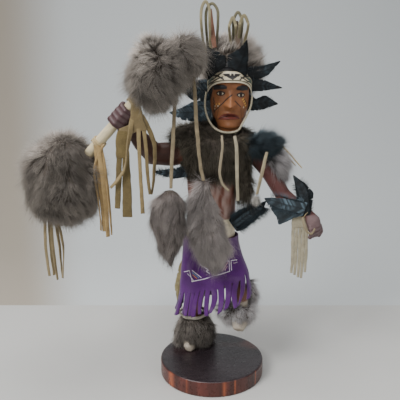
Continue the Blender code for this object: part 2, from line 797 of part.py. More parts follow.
HEAD_FEATHERS = {
    "head_feather_1": [  # the long one high on the picture's right
        (0.0350, 0.0050, 0.3425, 0.0110, 0.0080), (0.0447, 0.0080, 0.3475, 0.0080, 0.0075),
        (0.0540, 0.0110, 0.3485, 0.0070, 0.0065), (0.0610, 0.0140, 0.3510, 0.0065, 0.0060),
        (0.0778, 0.0200, 0.3614, 0.0006, 0.0006)],
    "head_feather_2": [
        (0.0350, 0.0060, 0.3310, 0.0090, 0.0080), (0.0450, 0.0080, 0.3350, 0.0070, 0.0075),
        (0.0588, 0.0130, 0.3340, 0.0065, 0.0065), (0.0700, 0.0170, 0.3325, 0.0035, 0.0032),
        (0.0809, 0.0200, 0.3313, 0.0006, 0.0006)],
    "head_feather_3": [
        (0.0380, 0.0050, 0.3160, 0.0100, 0.0110), (0.0490, 0.0100, 0.3120, 0.0060, 0.0070),
        (0.0610, 0.0140, 0.3150, 0.0080, 0.0080), (0.0767, 0.0200, 0.3127, 0.0006, 0.0006)],
    "head_feather_4": [  # the right one of the pair above the forehead
        (0.0260, -0.0125, 0.3500, 0.0110, 0.0120), (0.0280, -0.0105, 0.3540, 0.0135, 0.0110),
        (0.0320, -0.0065, 0.3620, 0.0170, 0.0070), (0.0350, -0.0045, 0.3720, 0.0070, 0.0040),
        (0.0370, -0.0030, 0.3832, 0.0006, 0.0006)],
    "head_feather_5": [
        (0.0060, -0.0125, 0.3500, 0.0150, 0.0100), (0.0030, -0.0105, 0.3540, 0.0125, 0.0125),
        (0.0000, -0.0065, 0.3620, 0.0095, 0.0140), (-0.0040, -0.0045, 0.3700, 0.0045, 0.0055),
        (-0.0069, -0.0030, 0.3766, 0.0006, 0.0006)],
    "head_feather_6": [
        (-0.0020, 0.0060, 0.3290, 0.0130, 0.0120), (-0.0148, 0.0080, 0.3290, 0.0125, 0.0120),
        (-0.0229, 0.0120, 0.3290, 0.0115, 0.0104), (-0.0320, 0.0150, 0.3310, 0.0055, 0.0045),
        (-0.0405, 0.0170, 0.3333, 0.0006, 0.0006)],
    "head_feather_7": [
        (-0.0020, 0.0060, 0.3060, 0.0120, 0.0120), (-0.0148, 0.0090, 0.3050, 0.0120, 0.0120),
        (-0.0240, 0.0120, 0.3037, 0.0110, 0.0115), (-0.0350, 0.0150, 0.3030, 0.0090, 0.0060),
        (-0.0507, 0.0180, 0.3027, 0.0006, 0.0006)],
}
WRIST_FEATHERS = {
    "wrist_feather_lower": [
        (0.1072, -0.0150, 0.1936, 0.0080, 0.0080), (0.0972, -0.0152, 0.1967, 0.0150, 0.0090),
        (0.0850, -0.0152, 0.1994, 0.0270, 0.0070), (0.0805, -0.0150, 0.2008, 0.0190, 0.0060),
        (0.0687, -0.0145, 0.2044, 0.0090, 0.0035), (0.0598, -0.0140, 0.2065, 0.0006, 0.0006)],
    "wrist_feather_upper": [
        (0.1100, -0.0132, 0.1860, 0.0070, 0.0040), (0.1073, -0.0131, 0.1970, 0.0090, 0.0085),
        (0.1060, -0.0105, 0.2096, 0.0090, 0.0115), (0.1026, -0.0070, 0.2187, 0.0065, 0.0070),
        (0.0942, -0.0020, 0.2315, 0.0006, 0.0006)],
}
HIP_FEATHER = [
    (0.0240, 0.0000, 0.1700, 0.0080, 0.0090), (0.0298, -0.0010, 0.1740, 0.0105, 0.0120),
    (0.0380, -0.0010, 0.1810, 0.0105, 0.0125), (0.0473, 0.0000, 0.1865, 0.0080, 0.0105),
    (0.0568, 0.0020, 0.1930, 0.0042, 0.0058), (0.0641, 0.0050, 0.1990, 0.0006, 0.0006),
]
ARM_FEATHER = [
    (-0.0300, 0.0020, 0.2360, 0.0070, 0.0065), (-0.0450, -0.0040, 0.2345, 0.0070, 0.0055),
    (-0.0580, -0.0060, 0.2355, 0.0040, 0.0030), (-0.0700, -0.0070, 0.2370, 0.0006, 0.0006),
]
BACK_FEATHER = [
    (-0.0140, 0.0470, 0.1500, 0.0040, 0.0040), (-0.0230, 0.0535, 0.1250, 0.0070, 0.0060),
    (-0.0360, 0.0560, 0.0980, 0.0085, 0.0070), (-0.0430, 0.0565, 0.0700, 0.0070, 0.0060),
    (-0.0450, 0.0560, 0.0500, 0.0006, 0.0006),
]

# Fur and down

MANTLE = [
    (0.0020, 0.0240, 0.2930, 0.0280, 0.0200), (-0.0010, 0.0215, 0.2850, 0.0490, 0.0300),
    (0.0010, 0.0190, 0.2740, 0.0560, 0.0355), (0.0030, 0.0185, 0.2620, 0.0500, 0.0375),
    (0.0040, 0.0180, 0.2490, 0.0470, 0.0385), (0.0060, 0.0180, 0.2370, 0.0440, 0.0370),
    (0.0080, 0.0180, 0.2270, 0.0360, 0.0320),
]
HEAD_FUR = [
    (0.0220, 0.0360, 0.3890, 0.0180, 0.0140), (0.0220, 0.0360, 0.3810, 0.0290, 0.0230),
    (0.0220, 0.0370, 0.3690, 0.0350, 0.0290), (0.0220, 0.0380, 0.3550, 0.0370, 0.0310),
    (0.0210, 0.0400, 0.3390, 0.0330, 0.0280), (0.0200, 0.0410, 0.3230, 0.0290, 0.0240),
    (0.0190, 0.0420, 0.3070, 0.0250, 0.0210), (0.0180, 0.0430, 0.2950, 0.0200, 0.0160),
]
TAILS = {
    "outer": [
        (-0.0470, -0.0370, 0.2230, 0.0090, 0.0075), (-0.0485, -0.0370, 0.2130, 0.0180, 0.0120),
        (-0.0505, -0.0370, 0.2010, 0.0215, 0.0140), (-0.0510, -0.0370, 0.1880, 0.0222, 0.0145),
        (-0.0505, -0.0370, 0.1740, 0.0205, 0.0135), (-0.0490, -0.0370, 0.1580, 0.0155, 0.0110),
        (-0.0485, -0.0370, 0.1450, 0.0090, 0.0070)],
    "inner": [
        (-0.0110, -0.0340, 0.2310, 0.0080, 0.0070), (-0.0125, -0.0340, 0.2190, 0.0140, 0.0105),
        (-0.0125, -0.0340, 0.2060, 0.0165, 0.0120), (-0.0105, -0.0345, 0.1930, 0.0183, 0.0130),
        (-0.0078, -0.0355, 0.1790, 0.0203, 0.0135), (-0.0030, -0.0365, 0.1640, 0.0222, 0.0135),
        (0.0005, -0.0370, 0.1500, 0.0205, 0.0120), (0.0010, -0.0370, 0.1380, 0.0130, 0.0085)]
}
TAIL_TOP = 0.0040
TAIL_TIPS = {"outer": 0.0150, "inner": 0.0100}
ANKLE_FUR_RIGHT = [
    (-0.0220, 0.0340, 0.0440, 0.0180, 0.0170), (-0.0215, 0.0340, 0.0340, 0.0255, 0.0235),
    (-0.0213, 0.0340, 0.0220, 0.0285, 0.0260), (-0.0213, 0.0345, 0.0110, 0.0275, 0.0250),
    (-0.0213, 0.0350, -0.0010, 0.0230, 0.0215),
]


def make_fur():
    fur_finish = FINISHES["grey_fur"]
    make("upper_staff_fur",
         [partial(fur_ball, (-0.0620, -0.0370, 0.3470), (0.0275, 0.0240, 0.0390), 8, columns=14, seed=1.0),
          partial(fur_ball, (-0.0300, -0.0345, 0.3640), (0.0215, 0.0180, 0.0255), 7, columns=12, seed=2.0)],
         fur_finish)
    make("lower_staff_fur",
         [partial(fur_ball, (-0.1730, -0.0110, 0.2300), (0.0430, 0.0390, 0.0520), 10, columns=18, seed=3.0)],
         fur_finish)
    make("head_fur", [partial(fur, HEAD_FUR, seed=4.0, top=0.004)], fur_finish)
    make("mantle_fur",
         [partial(fur, MANTLE, seed=5.0, tuft=0.10),
          partial(fur_ball, (0.0370, 0.0010, 0.2180), (0.0140, 0.0130, 0.0230), 6, columns=10, seed=6.0)],
         fur_finish)
    make("arm_fur_left", [partial(fur_ball, (0.0745, 0.0120, 0.2445), (0.0150, 0.0150, 0.0175), 7,
                                  columns=12, seed=7.0)],
         fur_finish)
    make("shoulder_down_left", [partial(fur_ball, (0.0560, 0.0010, 0.2675), (0.0205, 0.0150, 0.0130), 7,
                                        columns=12, seed=8.0, tuft=0.16)],
         FINISHES["black_down"])
    make("ankle_fur_right", [partial(fur, ANKLE_FUR_RIGHT, seed=9.0, columns=18, flat_foot=True)],
         fur_finish)
    make("ankle_fur_left",
         [partial(fur_ball, (0.0310, -0.0030, 0.0610), (0.0250, 0.0190, 0.0160), 7, columns=14, seed=10.0),
          partial(fur_ball, (0.0470, 0.0160, 0.0800), (0.0115, 0.0120, 0.0190), 6, columns=10, seed=11.0)],
         fur_finish)
    for number, (name, stations) in enumerate(TAILS.items()):
        form = partial(fur, stations, seed=12.0 + number, top=TAIL_TOP, bottom=TAIL_TIPS[name])
        make("tail_" + name, [form], fur_finish)
    make("white_down", [partial(fur_ball, (0.0500, -0.0165, 0.2050), (0.0050, 0.0042, 0.0060), 5,
                                columns=8, seed=14.0, tuft=0.25)],
         FINISHES["white_down"])


def make_feathers():
    black = FINISHES["black_feather"]
    for name, stations in {**HEAD_FEATHERS, **WRIST_FEATHERS}.items():
        make(name, [partial(vane, stations)], black)
    make("hip_feather", [partial(vane, HIP_FEATHER)], black)
    make("arm_feather_right", [partial(vane, ARM_FEATHER)], black)
    make("back_feather", [partial(vane, BACK_FEATHER)], FINISHES["pale_feather"])


def make_quills():
    runs = {
        "straw_quill_long": [(0.0700, 0.0140, 0.2740), (0.0866, 0.0150, 0.2600), (0.1071, 0.0140, 0.2375)],
        "straw_quill_short": [(0.0700, 0.0170, 0.2690), (0.0840, 0.0175, 0.2570), (0.1000, 0.0170, 0.2400)],
    }
    for name, points in runs.items():
        thin = QUILL_RADIUS * 0.55
        make(name, [partial(limb, points, [QUILL_RADIUS, QUILL_RADIUS, thin], sides=6)],
             FINISHES["straw"])


# Suede fringes, bundles of laces and loops


def lace_loop(foot, left, right, top, depth):
    # One lace bent over double: up from the foot, round the top and down again.
    x, y, z = foot
    step = LOOP_THICKNESS * 0.7
    near, far = x + (left - x) * LOOP_SPREAD, x + (right - x) * LOOP_SPREAD
    points = [
        (x - step, y + depth, z), (near, y + depth, z + 0.0180),
        (left, y + depth, (z + top) / 2 + 0.0100), (left + 0.0006, y + depth, top - 0.0070),
        ((left + right) / 2, y + depth, top), (right - 0.0006, y + depth, top - 0.0070),
        (right, y + depth, (z + top) / 2 + 0.0100), (far, y + depth, z + 0.0180),
        (x + step, y + depth, z),
    ]
    run = smooth_run(path_of(points), LOOP_STATIONS)
    half_wide = LACE_WIDTH / 2
    half_thick = LOOP_THICKNESS / 2
    rings = []
    for k, point in enumerate(run):
        ahead = run[min(k + 1, LOOP_STATIONS - 1)] - run[max(k - 1, 0)]
        across = DEPTH.cross(ahead).normalized()
        rings.append([
            point + across * half_thick * u + DEPTH * half_wide * v
            for u, v in ((1, 1), (-1, 1), (-1, -1), (1, -1))
        ])
    return closed_skin(rings)


def knot(centre, size):
    x, y, z = centre
    return limb([(x, y, z - size / 2), (x, y, z + size / 2)], [(size, size * 0.8)] * 2, sides=8)


LOOPS = {  # foot, then each loop's left and right side, its top and its depth
    "lace_loops_right": ((0.0010, 0.0050, 0.3600), [
        (-0.0135, -0.0040, 0.4250, 0.0), (-0.0080, 0.0052, 0.4235, 0.0042)]),
    "lace_loops_left": ((0.0280, 0.0045, 0.3650), [
        (0.0178, 0.0252, 0.4080, 0.0), (0.0225, 0.0325, 0.4140, 0.0038),
        (0.0292, 0.0384, 0.4100, -0.0038)]),
}


def make_loops():
    for name, (foot, loops) in LOOPS.items():
        forms = [partial(knot, foot, 0.0065)]
        for left, right, top, depth in loops:
            forms.append(partial(lace_loop, foot, left, right, top, depth))
        make(name, forms, FINISHES["cream_suede"], share=1)


WRIST_FRINGE_LEFT = {
    "x": 0.0952, "pitch": 0.0040, "top": 0.1800,
    "ends": (0.1130, 0.1105, 0.1075, 0.1065, 0.1140),
}


def left_fringe_strip(number):
    x = WRIST_FRINGE_LEFT["x"] + WRIST_FRINGE_LEFT["pitch"] * number
    low = WRIST_FRINGE_LEFT["ends"][number]
    points = [(x + 0.0002, -0.0101, WRIST_FRINGE_LEFT["top"]), (x, -0.0099, 0.1600),
              (x + 0.0006, -0.0085, 0.1350), (x + 0.0002, -0.0070, low)]
    return strip(points, [0.0035, 0.0036, 0.0036, 0.0032], SUEDE_THICKNESS, steps=4)


def left_wrist_band():
    points = [(0.1040, -0.0018, 0.1912), (0.1085, -0.0036, 0.1876), (0.1115, -0.0050, 0.1852)]
    return limb(points, [WRIST_RADIUS + SUEDE_THICKNESS] * 3, sides=10)


def left_fringe_panel():
    points = [(0.1031, -0.0100, 0.1850), (0.1031, -0.0102, 0.1705)]
    return strip(points, [0.0210, 0.0210], SUEDE_THICKNESS * 1.5, steps=3)


RIGHT_STRIPS = {  # the strips of the suede at the wrist that holds the staff
    "a": ([(-0.1040, -0.0325, 0.2600), (-0.1055, -0.0325, 0.2300), (-0.1080, -0.0325, 0.1990)],
          [0.0060, 0.0068, 0.0060]),
    "b": ([(-0.0965, -0.0325, 0.2600), (-0.0965, -0.0325, 0.2250), (-0.0970, -0.0325, 0.1890)],
          [0.0075, 0.0100, 0.0112]),
    "c": ([(-0.0880, -0.0345, 0.3000), (-0.0935, -0.0370, 0.2690), (-0.0990, -0.0375, 0.2430),
           (-0.1140, -0.0370, 0.2235)], [0.0055, 0.0050, 0.0046, 0.0030]),
    "d": ([(-0.0820, -0.0330, 0.2960), (-0.0815, -0.0335, 0.2630), (-0.0805, -0.0330, 0.2250),
           (-0.0794, -0.0320, 0.1930)], [0.0050, 0.0042, 0.0040, 0.0050]),
    "e": ([(-0.0775, -0.0335, 0.2960), (-0.0745, -0.0300, 0.2690), (-0.0735, -0.0270, 0.2350),
           (-0.0714, -0.0260, 0.2140)], [0.0050, 0.0040, 0.0040, 0.0036]),
    "f": ([(-0.0780, -0.0342, 0.3030), (-0.0690, -0.0280, 0.2830), (-0.0655, -0.0230, 0.2660),
           (-0.0669, -0.0220, 0.2344), (-0.0700, -0.0220, 0.2130)], [0.0055, 0.0055, 0.0050, 0.0046, 0.0036]),
}


def make_fringes():
    cream = FINISHES["tan_suede"]
    panel = [(-0.0840, -0.0370, 0.3180), (-0.0830, -0.0345, 0.2990), (-0.0820, -0.0325, 0.2860)]
    apron = [(-0.0990, -0.0325, 0.2860), (-0.1000, -0.0325, 0.2740), (-0.1002, -0.0325, 0.2560)]
    bridge = [(-0.1020, -0.0322, 0.2840), (-0.0860, -0.0326, 0.2900)]
    forms = [
        partial(sleeve_on_staff, 0.785, 0.0120),
        partial(strip, panel, [0.0085, 0.0150, 0.0200], SUEDE_THICKNESS * 1.5),
        partial(strip, bridge, [0.0090, 0.0110], SUEDE_THICKNESS * 1.8, steps=3),
        partial(strip, apron, [0.0120, 0.0150, 0.0148], SUEDE_THICKNESS * 1.3),
    ]
    for points, widths in RIGHT_STRIPS.values():
        forms.append(partial(strip, points, widths, SUEDE_THICKNESS, steps=5))
    make("wrist_fringe_right", forms, cream)

    forms = [left_wrist_band, left_fringe_panel]
    forms += [partial(left_fringe_strip, number) for number in range(5)]
    make("wrist_fringe_left", forms, cream)

    forms = [partial(sleeve_on_staff, 0.352, 0.0060)]
    for k, (x, low) in enumerate(((-0.1262, 0.1700), (-0.1222, 0.1640), (-0.1183, 0.1660), (-0.1300, 0.1715))):
        sway = 0.0016 * (k % 2)
        points = [(-0.1285 + 0.0030 * (k - 1), -0.0235 - sway, 0.2700), (x - 0.0030, -0.0250 - sway, 0.2420),
                  (x, -0.0250 - sway, 0.2050), (x + 0.0016, -0.0245 - sway, low)]
        forms.append(partial(strip, points, [LACE_WIDTH] * 2, SUEDE_THICKNESS, steps=5))
    make("staff_laces", forms, cream, share=1)

    forms = [partial(knot, (-0.1890, -0.0110, 0.1860), 0.0080)]
    for x_top, x_mid, x_low, low, back in (
            (-0.1960, -0.1975, -0.1950, 0.1110, 0.0), (-0.1925, -0.1925, -0.1905, 0.1105, 0.0040),
            (-0.1890, -0.1885, -0.1855, 0.1065, -0.0010), (-0.1855, -0.1820, -0.1810, 0.1080, 0.0035),
            (-0.1830, -0.1765, -0.1795, 0.1085, -0.0005)):
        points = [(x_top, -0.0120 + back, 0.1860), (x_mid, -0.0125 + back, 0.1480), (x_low, -0.0120 + back, low)]
        forms.append(partial(strip, points, [LACE_WIDTH] * 2, SUEDE_THICKNESS, steps=5))
    make("ball_laces", forms, cream, share=1)


def make_cords():
    cream = FINISHES["cream_suede"]
    make_cord("face_cord", FACE_CORD_ROUTE, FACE_CORD_DIAMETER, cream)
    for name, route in CHIN_LACES.items():
        make_cord(name, route, CHIN_LACE_DIAMETER, cream)
    make_cord("shoulder_lace", SHOULDER_LACE, CHIN_LACE_DIAMETER, cream)
    for name, route in STRAPS.items():
        make_cord("strap_" + name, route + [TAILS[name][0][:3]], STRAP_DIAMETER, cream)
    loop = [(0.1050, -0.0140, 0.1840), (0.1060, -0.0190, 0.1760), (0.1100, -0.0205, 0.1680),
            (0.1150, -0.0205, 0.1660), (0.1185, -0.0200, 0.1720)]
    make_cord("wrist_loop_left", loop, WRIST_LOOP_DIAMETER, cream)


# The whole doll

for old in list(bpy.data.objects):
    bpy.data.objects.remove(old, do_unlink=True)
PARTS = new_collection("kachina_doll")
CUTTERS = new_collection("cutters")

FINISHES = {
    "base_wood": material("base_wood", (0.036, 0.022, 0.020), 0.35),
    "carved_wood": material("carved_wood", (0.300, 0.110, 0.060), 0.55),
    "staff_wood": material("staff_wood", (0.560, 0.440, 0.250), 0.60),
    "grey_fur": material("grey_fur", (0.160, 0.130, 0.115), 0.95),
    "black_down": material("black_down", (0.020, 0.024, 0.030), 0.90),
    "white_down": material("white_down", (0.750, 0.730, 0.680), 0.90),
    "black_feather": material("black_feather", (0.020, 0.028, 0.034), 0.45),
    "pale_feather": material("pale_feather", (0.620, 0.560, 0.340), 0.60),
    "straw": material("straw", (0.560, 0.440, 0.240), 0.60),
    "cream_suede": material("cream_suede", (0.600, 0.480, 0.300), 0.90),
    "tan_suede": material("tan_suede", (0.480, 0.350, 0.190), 0.90),
    "purple_suede": material("purple_suede", (0.100, 0.024, 0.180), 0.90),
    "painted_band": material("painted_band", (0.560, 0.480, 0.320), 0.80),
}

make_base()
make("staff", [staff_rod], FINISHES["staff_wood"])
make_figure()
make("headband", [band_form], FINISHES["painted_band"])
make_kilt()
make_fringes()
make_cords()
make_loops()
make_fur()
make_feathers()
make_quills()
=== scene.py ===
# The looks of a carved dancer doll, in metres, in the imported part's own frame:
# it faces -Y, its staff points to -X, the origin is under the base's centre.

import math

import bmesh
import bpy
import numpy as np
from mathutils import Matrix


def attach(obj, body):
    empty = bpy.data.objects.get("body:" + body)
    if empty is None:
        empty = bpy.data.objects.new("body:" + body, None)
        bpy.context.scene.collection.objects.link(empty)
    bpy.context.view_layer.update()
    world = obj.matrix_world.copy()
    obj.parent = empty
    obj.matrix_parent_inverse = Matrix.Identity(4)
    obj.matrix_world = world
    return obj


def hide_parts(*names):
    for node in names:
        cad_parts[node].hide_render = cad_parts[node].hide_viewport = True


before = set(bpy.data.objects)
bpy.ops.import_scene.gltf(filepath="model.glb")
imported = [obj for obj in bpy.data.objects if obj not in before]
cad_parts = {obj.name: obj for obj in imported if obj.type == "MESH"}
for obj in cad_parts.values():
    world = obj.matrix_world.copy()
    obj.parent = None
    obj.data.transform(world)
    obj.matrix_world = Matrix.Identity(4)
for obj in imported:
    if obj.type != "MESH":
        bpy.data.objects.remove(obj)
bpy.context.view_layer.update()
baseTop = 0.019  # the board's thickness

# Camera

cameraLook = {"place": (-0.0148, -0.6355, 0.3632), "down": 12.66, "lens": 49.5, "sensor": 36, "picture": 400}


def placeCamera():
    # Looking along +Y and down a little, from where the photograph was taken.
    data = bpy.data.cameras.new("camera")
    data.lens = cameraLook["lens"]
    data.sensor_width = cameraLook["sensor"]
    camera = bpy.data.objects.new("camera", data)
    camera.location = cameraLook["place"]
    camera.rotation_euler = (math.radians(90 - cameraLook["down"]), 0, 0)
    bpy.context.scene.collection.objects.link(camera)
    bpy.context.scene.camera = camera


placeCamera()


def seenAt(points):
    # Where points fall in the camera's square picture, right and down: their
    # offset from its middle is focal length times sideways by depth.
    look = cameraLook
    tilt = math.radians(look["down"])
    away = points - np.array(look["place"])
    depth = away @ np.array((0, math.cos(tilt), -math.sin(tilt)))
    high = away @ np.array((0, math.sin(tilt), math.cos(tilt)))
    scale = look["lens"] / look["sensor"] * look["picture"] / depth
    return look["picture"] / 2 + away[:, 0] * scale, look["picture"] / 2 - high * scale


# Arrays


def ink(code):
    # A colour written as six hex digits, as linear light.
    values = np.array([int(code[k:k + 2], 16) / 255 for k in (0, 2, 4)])
    return np.where(values <= 0.04045, values / 12.92, ((values + 0.055) / 1.055) ** 2.4)


def at(points):
    # Places given by their height above the base's top.
    return np.asarray(points, float) + (0, 0, baseTop)


def unit(vectors):
    # The same directions at length 1.
    return vectors / np.maximum(np.linalg.norm(vectors, axis=-1, keepdims=True), 1e-12)


def soft(share):
    # From 0 to 1 with level ends: 3 t^2 - 2 t^3.
    return share * share * (3 - 2 * share)


def ringOf(count):
    # Even turns round a circle, without its last.
    return np.linspace(0, 2 * math.pi, count, endpoint=False)


def smoothRun(points, count):
    # Points read from one smooth curve through the given ones.
    points = np.asarray(points, float)
    last = len(points) - 1
    place = np.linspace(0, last, count)
    i = np.minimum(place.astype(int), last - 1)
    t = (place - i)[:, None]
    a, b = points[np.maximum(i - 1, 0)], points[i]
    c, d = points[i + 1], points[np.minimum(i + 2, last)]
    return 0.5 * (2 * b + (c - a) * t + (2 * a - 5 * b + 4 * c - d) * t ** 2
                  + (3 * b - a - 3 * c + d) * t ** 3)


def readOff(rows, place):
    # The eased value between a table's rows of place and value.
    xs, ys = np.array(sorted(rows), float).T
    place = np.clip(place, xs[0], xs[-1])
    i = np.clip(np.searchsorted(xs, place, side="right") - 1, 0, len(xs) - 2)
    t = (place - xs[i]) / (xs[i + 1] - xs[i])
    return ys[i] + (ys[i + 1] - ys[i]) * soft(t)


def bump(distance, width):
    # 1 at no distance, and exp(-(distance / width)^2) away from it.
    return np.exp(-((distance / width) ** 2))


def eased(value, low, high):
    # 0 below low, 1 above high, and smooth between.
    return soft(np.clip((value - low) / (high - low), 0, 1))


def wobble(points, size, seed=0):
    # Smooth noise from -1 to 1: hashed values at the corners of a lattice of
    # cells of that size, eased between them.
    place = np.asarray(points, float) / size + 1000
    cell = np.floor(place).astype(np.int64)
    t = soft(place - cell)
    total = np.zeros(len(place))
    for corner in np.ndindex(2, 2, 2):
        key = ((cell + corner) * (73856093, 19349663, 83492791)).sum(-1) + seed * 92821
        key = (key ^ (key >> 13)) * 1274126177
        value = ((key ^ (key >> 16)) & 0xFFFF) / 32767.5 - 1
        total += value * np.prod(np.where(np.array(corner, bool), t, 1 - t), axis=-1)
    return total


def nearLine(points, route):
    # Each point's distance to a broken line, in any number of dimensions.
    best = np.full(len(points), np.inf)
    route = np.asarray(route, float)
    for a, b in zip(route, route[1:]):
        t = np.clip(((points - a) @ (b - a)) / max((b - a) @ (b - a), 1e-12), 0, 1)
        best = np.minimum(best, np.linalg.norm(points - (a + t[:, None] * (b - a)), axis=-1))
    return best


def edge(inside, blur=0.25):
    # Paint's cover by the distance inside its edge: 0 to 1 over the blur.
    return np.clip(inside / blur + 0.5, 0, 1)


def stroke(points, route, half):
    # How far a painted line covers each point: 1 inside it and 0 off it.
    return edge(half - nearLine(points, route))


def dotted(points, centre, radius, blur=0.3):
    # The same for a round dot.
    return edge(radius - np.linalg.norm(points - np.array(centre), axis=1), blur)


def filled(points, outline, blur=0.25):
    # How far a painted convex area covers each point, its outline in order.
    outline = np.asarray(outline, float)
    inside = np.full(len(points), np.inf)
    turn = np.sign(np.cross(outline[1] - outline[0], outline[2] - outline[1]))
    for a, b in zip(outline, np.roll(outline, -1, axis=0)):
        side = np.cross(b - a, points - a) / np.linalg.norm(b - a) * turn
        inside = np.minimum(inside, side)
    return edge(inside, blur)


def mottled(code, points, *waves):
    # A colour made lighter and darker by noise: 1 + sum of depth x wobble.
    return ink(code) * (1 + sum(depth * wobble(points, size, seed) for depth, size, seed in waves))[:, None]


def painted(under, cover, code):
    # Lays one colour over others where cover is near 1.
    return under + (ink(code) - under) * cover[:, None]


def framesAlong(run):
    # The way along a run, the way across it near the picture's plane, and the
    # way through it.
    along = unit(np.gradient(run, axis=0))
    across = unit(np.cross(along, (0, 1, 0)))
    return along, across, np.cross(across, along)


def lengthAlong(run):
    # How far along a run each of its points is.
    return np.concatenate(([0], np.cumsum(np.linalg.norm(np.diff(run, axis=0), axis=1))))


# Bodies: points, lists of faces, and each point's colour


def outward(points, faces):
    # Turns a closed body's faces over if they enclose a negative volume.
    volume = 0.0
    for part in faces:
        for k in range(1, part.shape[1] - 1):
            a, b, c = points[part[:, 0]], points[part[:, k]], points[part[:, k + 1]]
            volume += (a * np.cross(b, c)).sum()
    return faces if volume > 0 else [part[:, ::-1] for part in faces]


def skin(rings):
    # A closed skin over a run of rings, with a pole at each end.
    rows, count = rings.shape[:2]
    points = np.concatenate((rings.reshape(-1, 3), rings[[0, -1]].mean(axis=1)))
    row = np.arange(rows - 1)[:, None] * count
    k = np.arange(count)
    n = (k + 1) % count
    quads = np.stack((row + k, row + n, row + count + n, row + count + k), -1).reshape(-1, 4)
    low = np.stack((n, k, np.full(count, rows * count)), -1)
    high = np.stack((k, n, np.full(count, 1)), -1) + (rows - 1) * count
    high[:, 2] = rows * count + 1
    return points, outward(points, [quads, np.concatenate((low, high))])


def joined(bodies):
    # Several closed bodies as one.
    points, faces, tints = [], [], []
    start = 0
    for body in bodies:
        points.append(body[0])
        faces += [part + start for part in body[1]]
        if len(body) > 2:
            tints.append(np.broadcast_to(body[2], body[0].shape))
        start += len(body[0])
    made = (np.concatenate(points), faces)
    return made + (np.concatenate(tints),) if tints else made


def pieceFrom(name, body, material, spaces=None, uv=None, smooth=True):
    # A piece from a body. spaces are further vectors kept at its points.
    points, faces = body[:2]
    mesh = bpy.data.meshes.new(name)
    sizes = np.concatenate([np.full(len(part), part.shape[1]) for part in faces])
    corners = np.concatenate([part.ravel() for part in faces]).astype(np.int32)
    mesh.vertices.add(len(points))
    mesh.vertices.foreach_set("co", np.asarray(points, np.float32).ravel())
    mesh.loops.add(len(corners))
    mesh.loops.foreach_set("vertex_index", corners)
    mesh.polygons.add(len(sizes))
    mesh.polygons.foreach_set("loop_start", (np.cumsum(sizes) - sizes).astype(np.int32))
    mesh.update(calc_edges=True)
    if len(body) > 2:
        tint = mesh.color_attributes.new(name="tint", type="FLOAT_COLOR", domain="POINT")
        colours = np.ones((len(points), 4), np.float32)
        colours[:, :3] = np.clip(body[2], 0, 1)
        tint.data.foreach_set("color", colours.ravel())
    for key, vectors in (spaces or {}).items():
        kept = mesh.attributes.new(name=key, type="FLOAT_VECTOR", domain="POINT")
        kept.data.foreach_set("vector", np.asarray(vectors, np.float32).ravel())
    if uv is not None:
        layer = mesh.uv_layers.new(name="OFBake")
        layer.uv.foreach_set("vector", np.asarray(uv, np.float32).ravel())
    mesh.polygons.foreach_set("use_smooth", np.full(len(sizes), smooth))
    mesh.materials.append(material)
    mesh.update()
    made = bpy.data.objects.new(name, mesh)
    bpy.context.scene.collection.objects.link(made)
    return made


def placed(name, body, finish, node, slot, **more):
    # A piece that stands for a solid, with the named finish; the solid itself is hidden. The slot is not
    # used.
    piece = pieceFrom(name, body, finishes[finish], **more)
    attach(piece, "root")
    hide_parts(node)
    return piece


def remeshed(node, voxel, passes):
    # A solid's merged copy, meshed again in even squares and smoothed.
    bm = bmesh.new()
    bm.from_mesh(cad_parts[node].data)
    bmesh.ops.remove_doubles(bm, verts=bm.verts, dist=0.000001)
    mesh = bpy.data.meshes.new("work")
    bm.to_mesh(mesh)
    bm.free()
    work = bpy.data.objects.new("work", mesh)
    bpy.context.scene.collection.objects.link(work)
    even = work.modifiers.new("Even", "REMESH")
    even.mode = "VOXEL"
    even.voxel_size = voxel
    ease = work.modifiers.new("Ease", "SMOOTH")
    ease.iterations = passes
    depsgraph = bpy.context.evaluated_depsgraph_get()
    result = bpy.data.meshes.new_from_object(work.evaluated_get(depsgraph))
    points = np.empty(len(result.vertices) * 3)
    result.vertices.foreach_get("co", points)
    normals = np.empty(len(result.vertices) * 3)
    result.vertices.foreach_get("normal", normals)
    corners = np.empty(len(result.loops), np.int32)
    result.loops.foreach_get("vertex_index", corners)
    for used in (result, mesh):
        bpy.data.meshes.remove(used)
    return points.reshape(-1, 3), corners.reshape(-1, 4), normals.reshape(-1, 3)


# Materials


def addNode(tree, kind, inputs, **settings):
    # A shader node, each input either another node's output or a value.
    made = tree.nodes.new("ShaderNode" + kind)
    for key, value in settings.items():
        setattr(made, key, value)
    for key, value in inputs.items():
        if isinstance(value, bpy.types.NodeSocket):
            tree.links.new(value, made.inputs[key])
        else:
            made.inputs[key].default_value = value
    return made


def noiseOf(tree, space, size, detail, roughness):
    # Noise whose features are about as large as the size, in metres.
    return addNode(tree, "TexNoise", {"Vector": space, "Scale": 1 / size, "Detail": detail,
                                      "Roughness": roughness}).outputs[0]


def levelOf(tree, value, low, high):
    # Noise lies about 0.3 to 0.7, which becomes low to high.
    return addNode(tree, "MapRange", {"Value": value, "From Min": 0.3, "From Max": 0.7, "To Min": low,
                                      "To Max": high}).outputs[0]


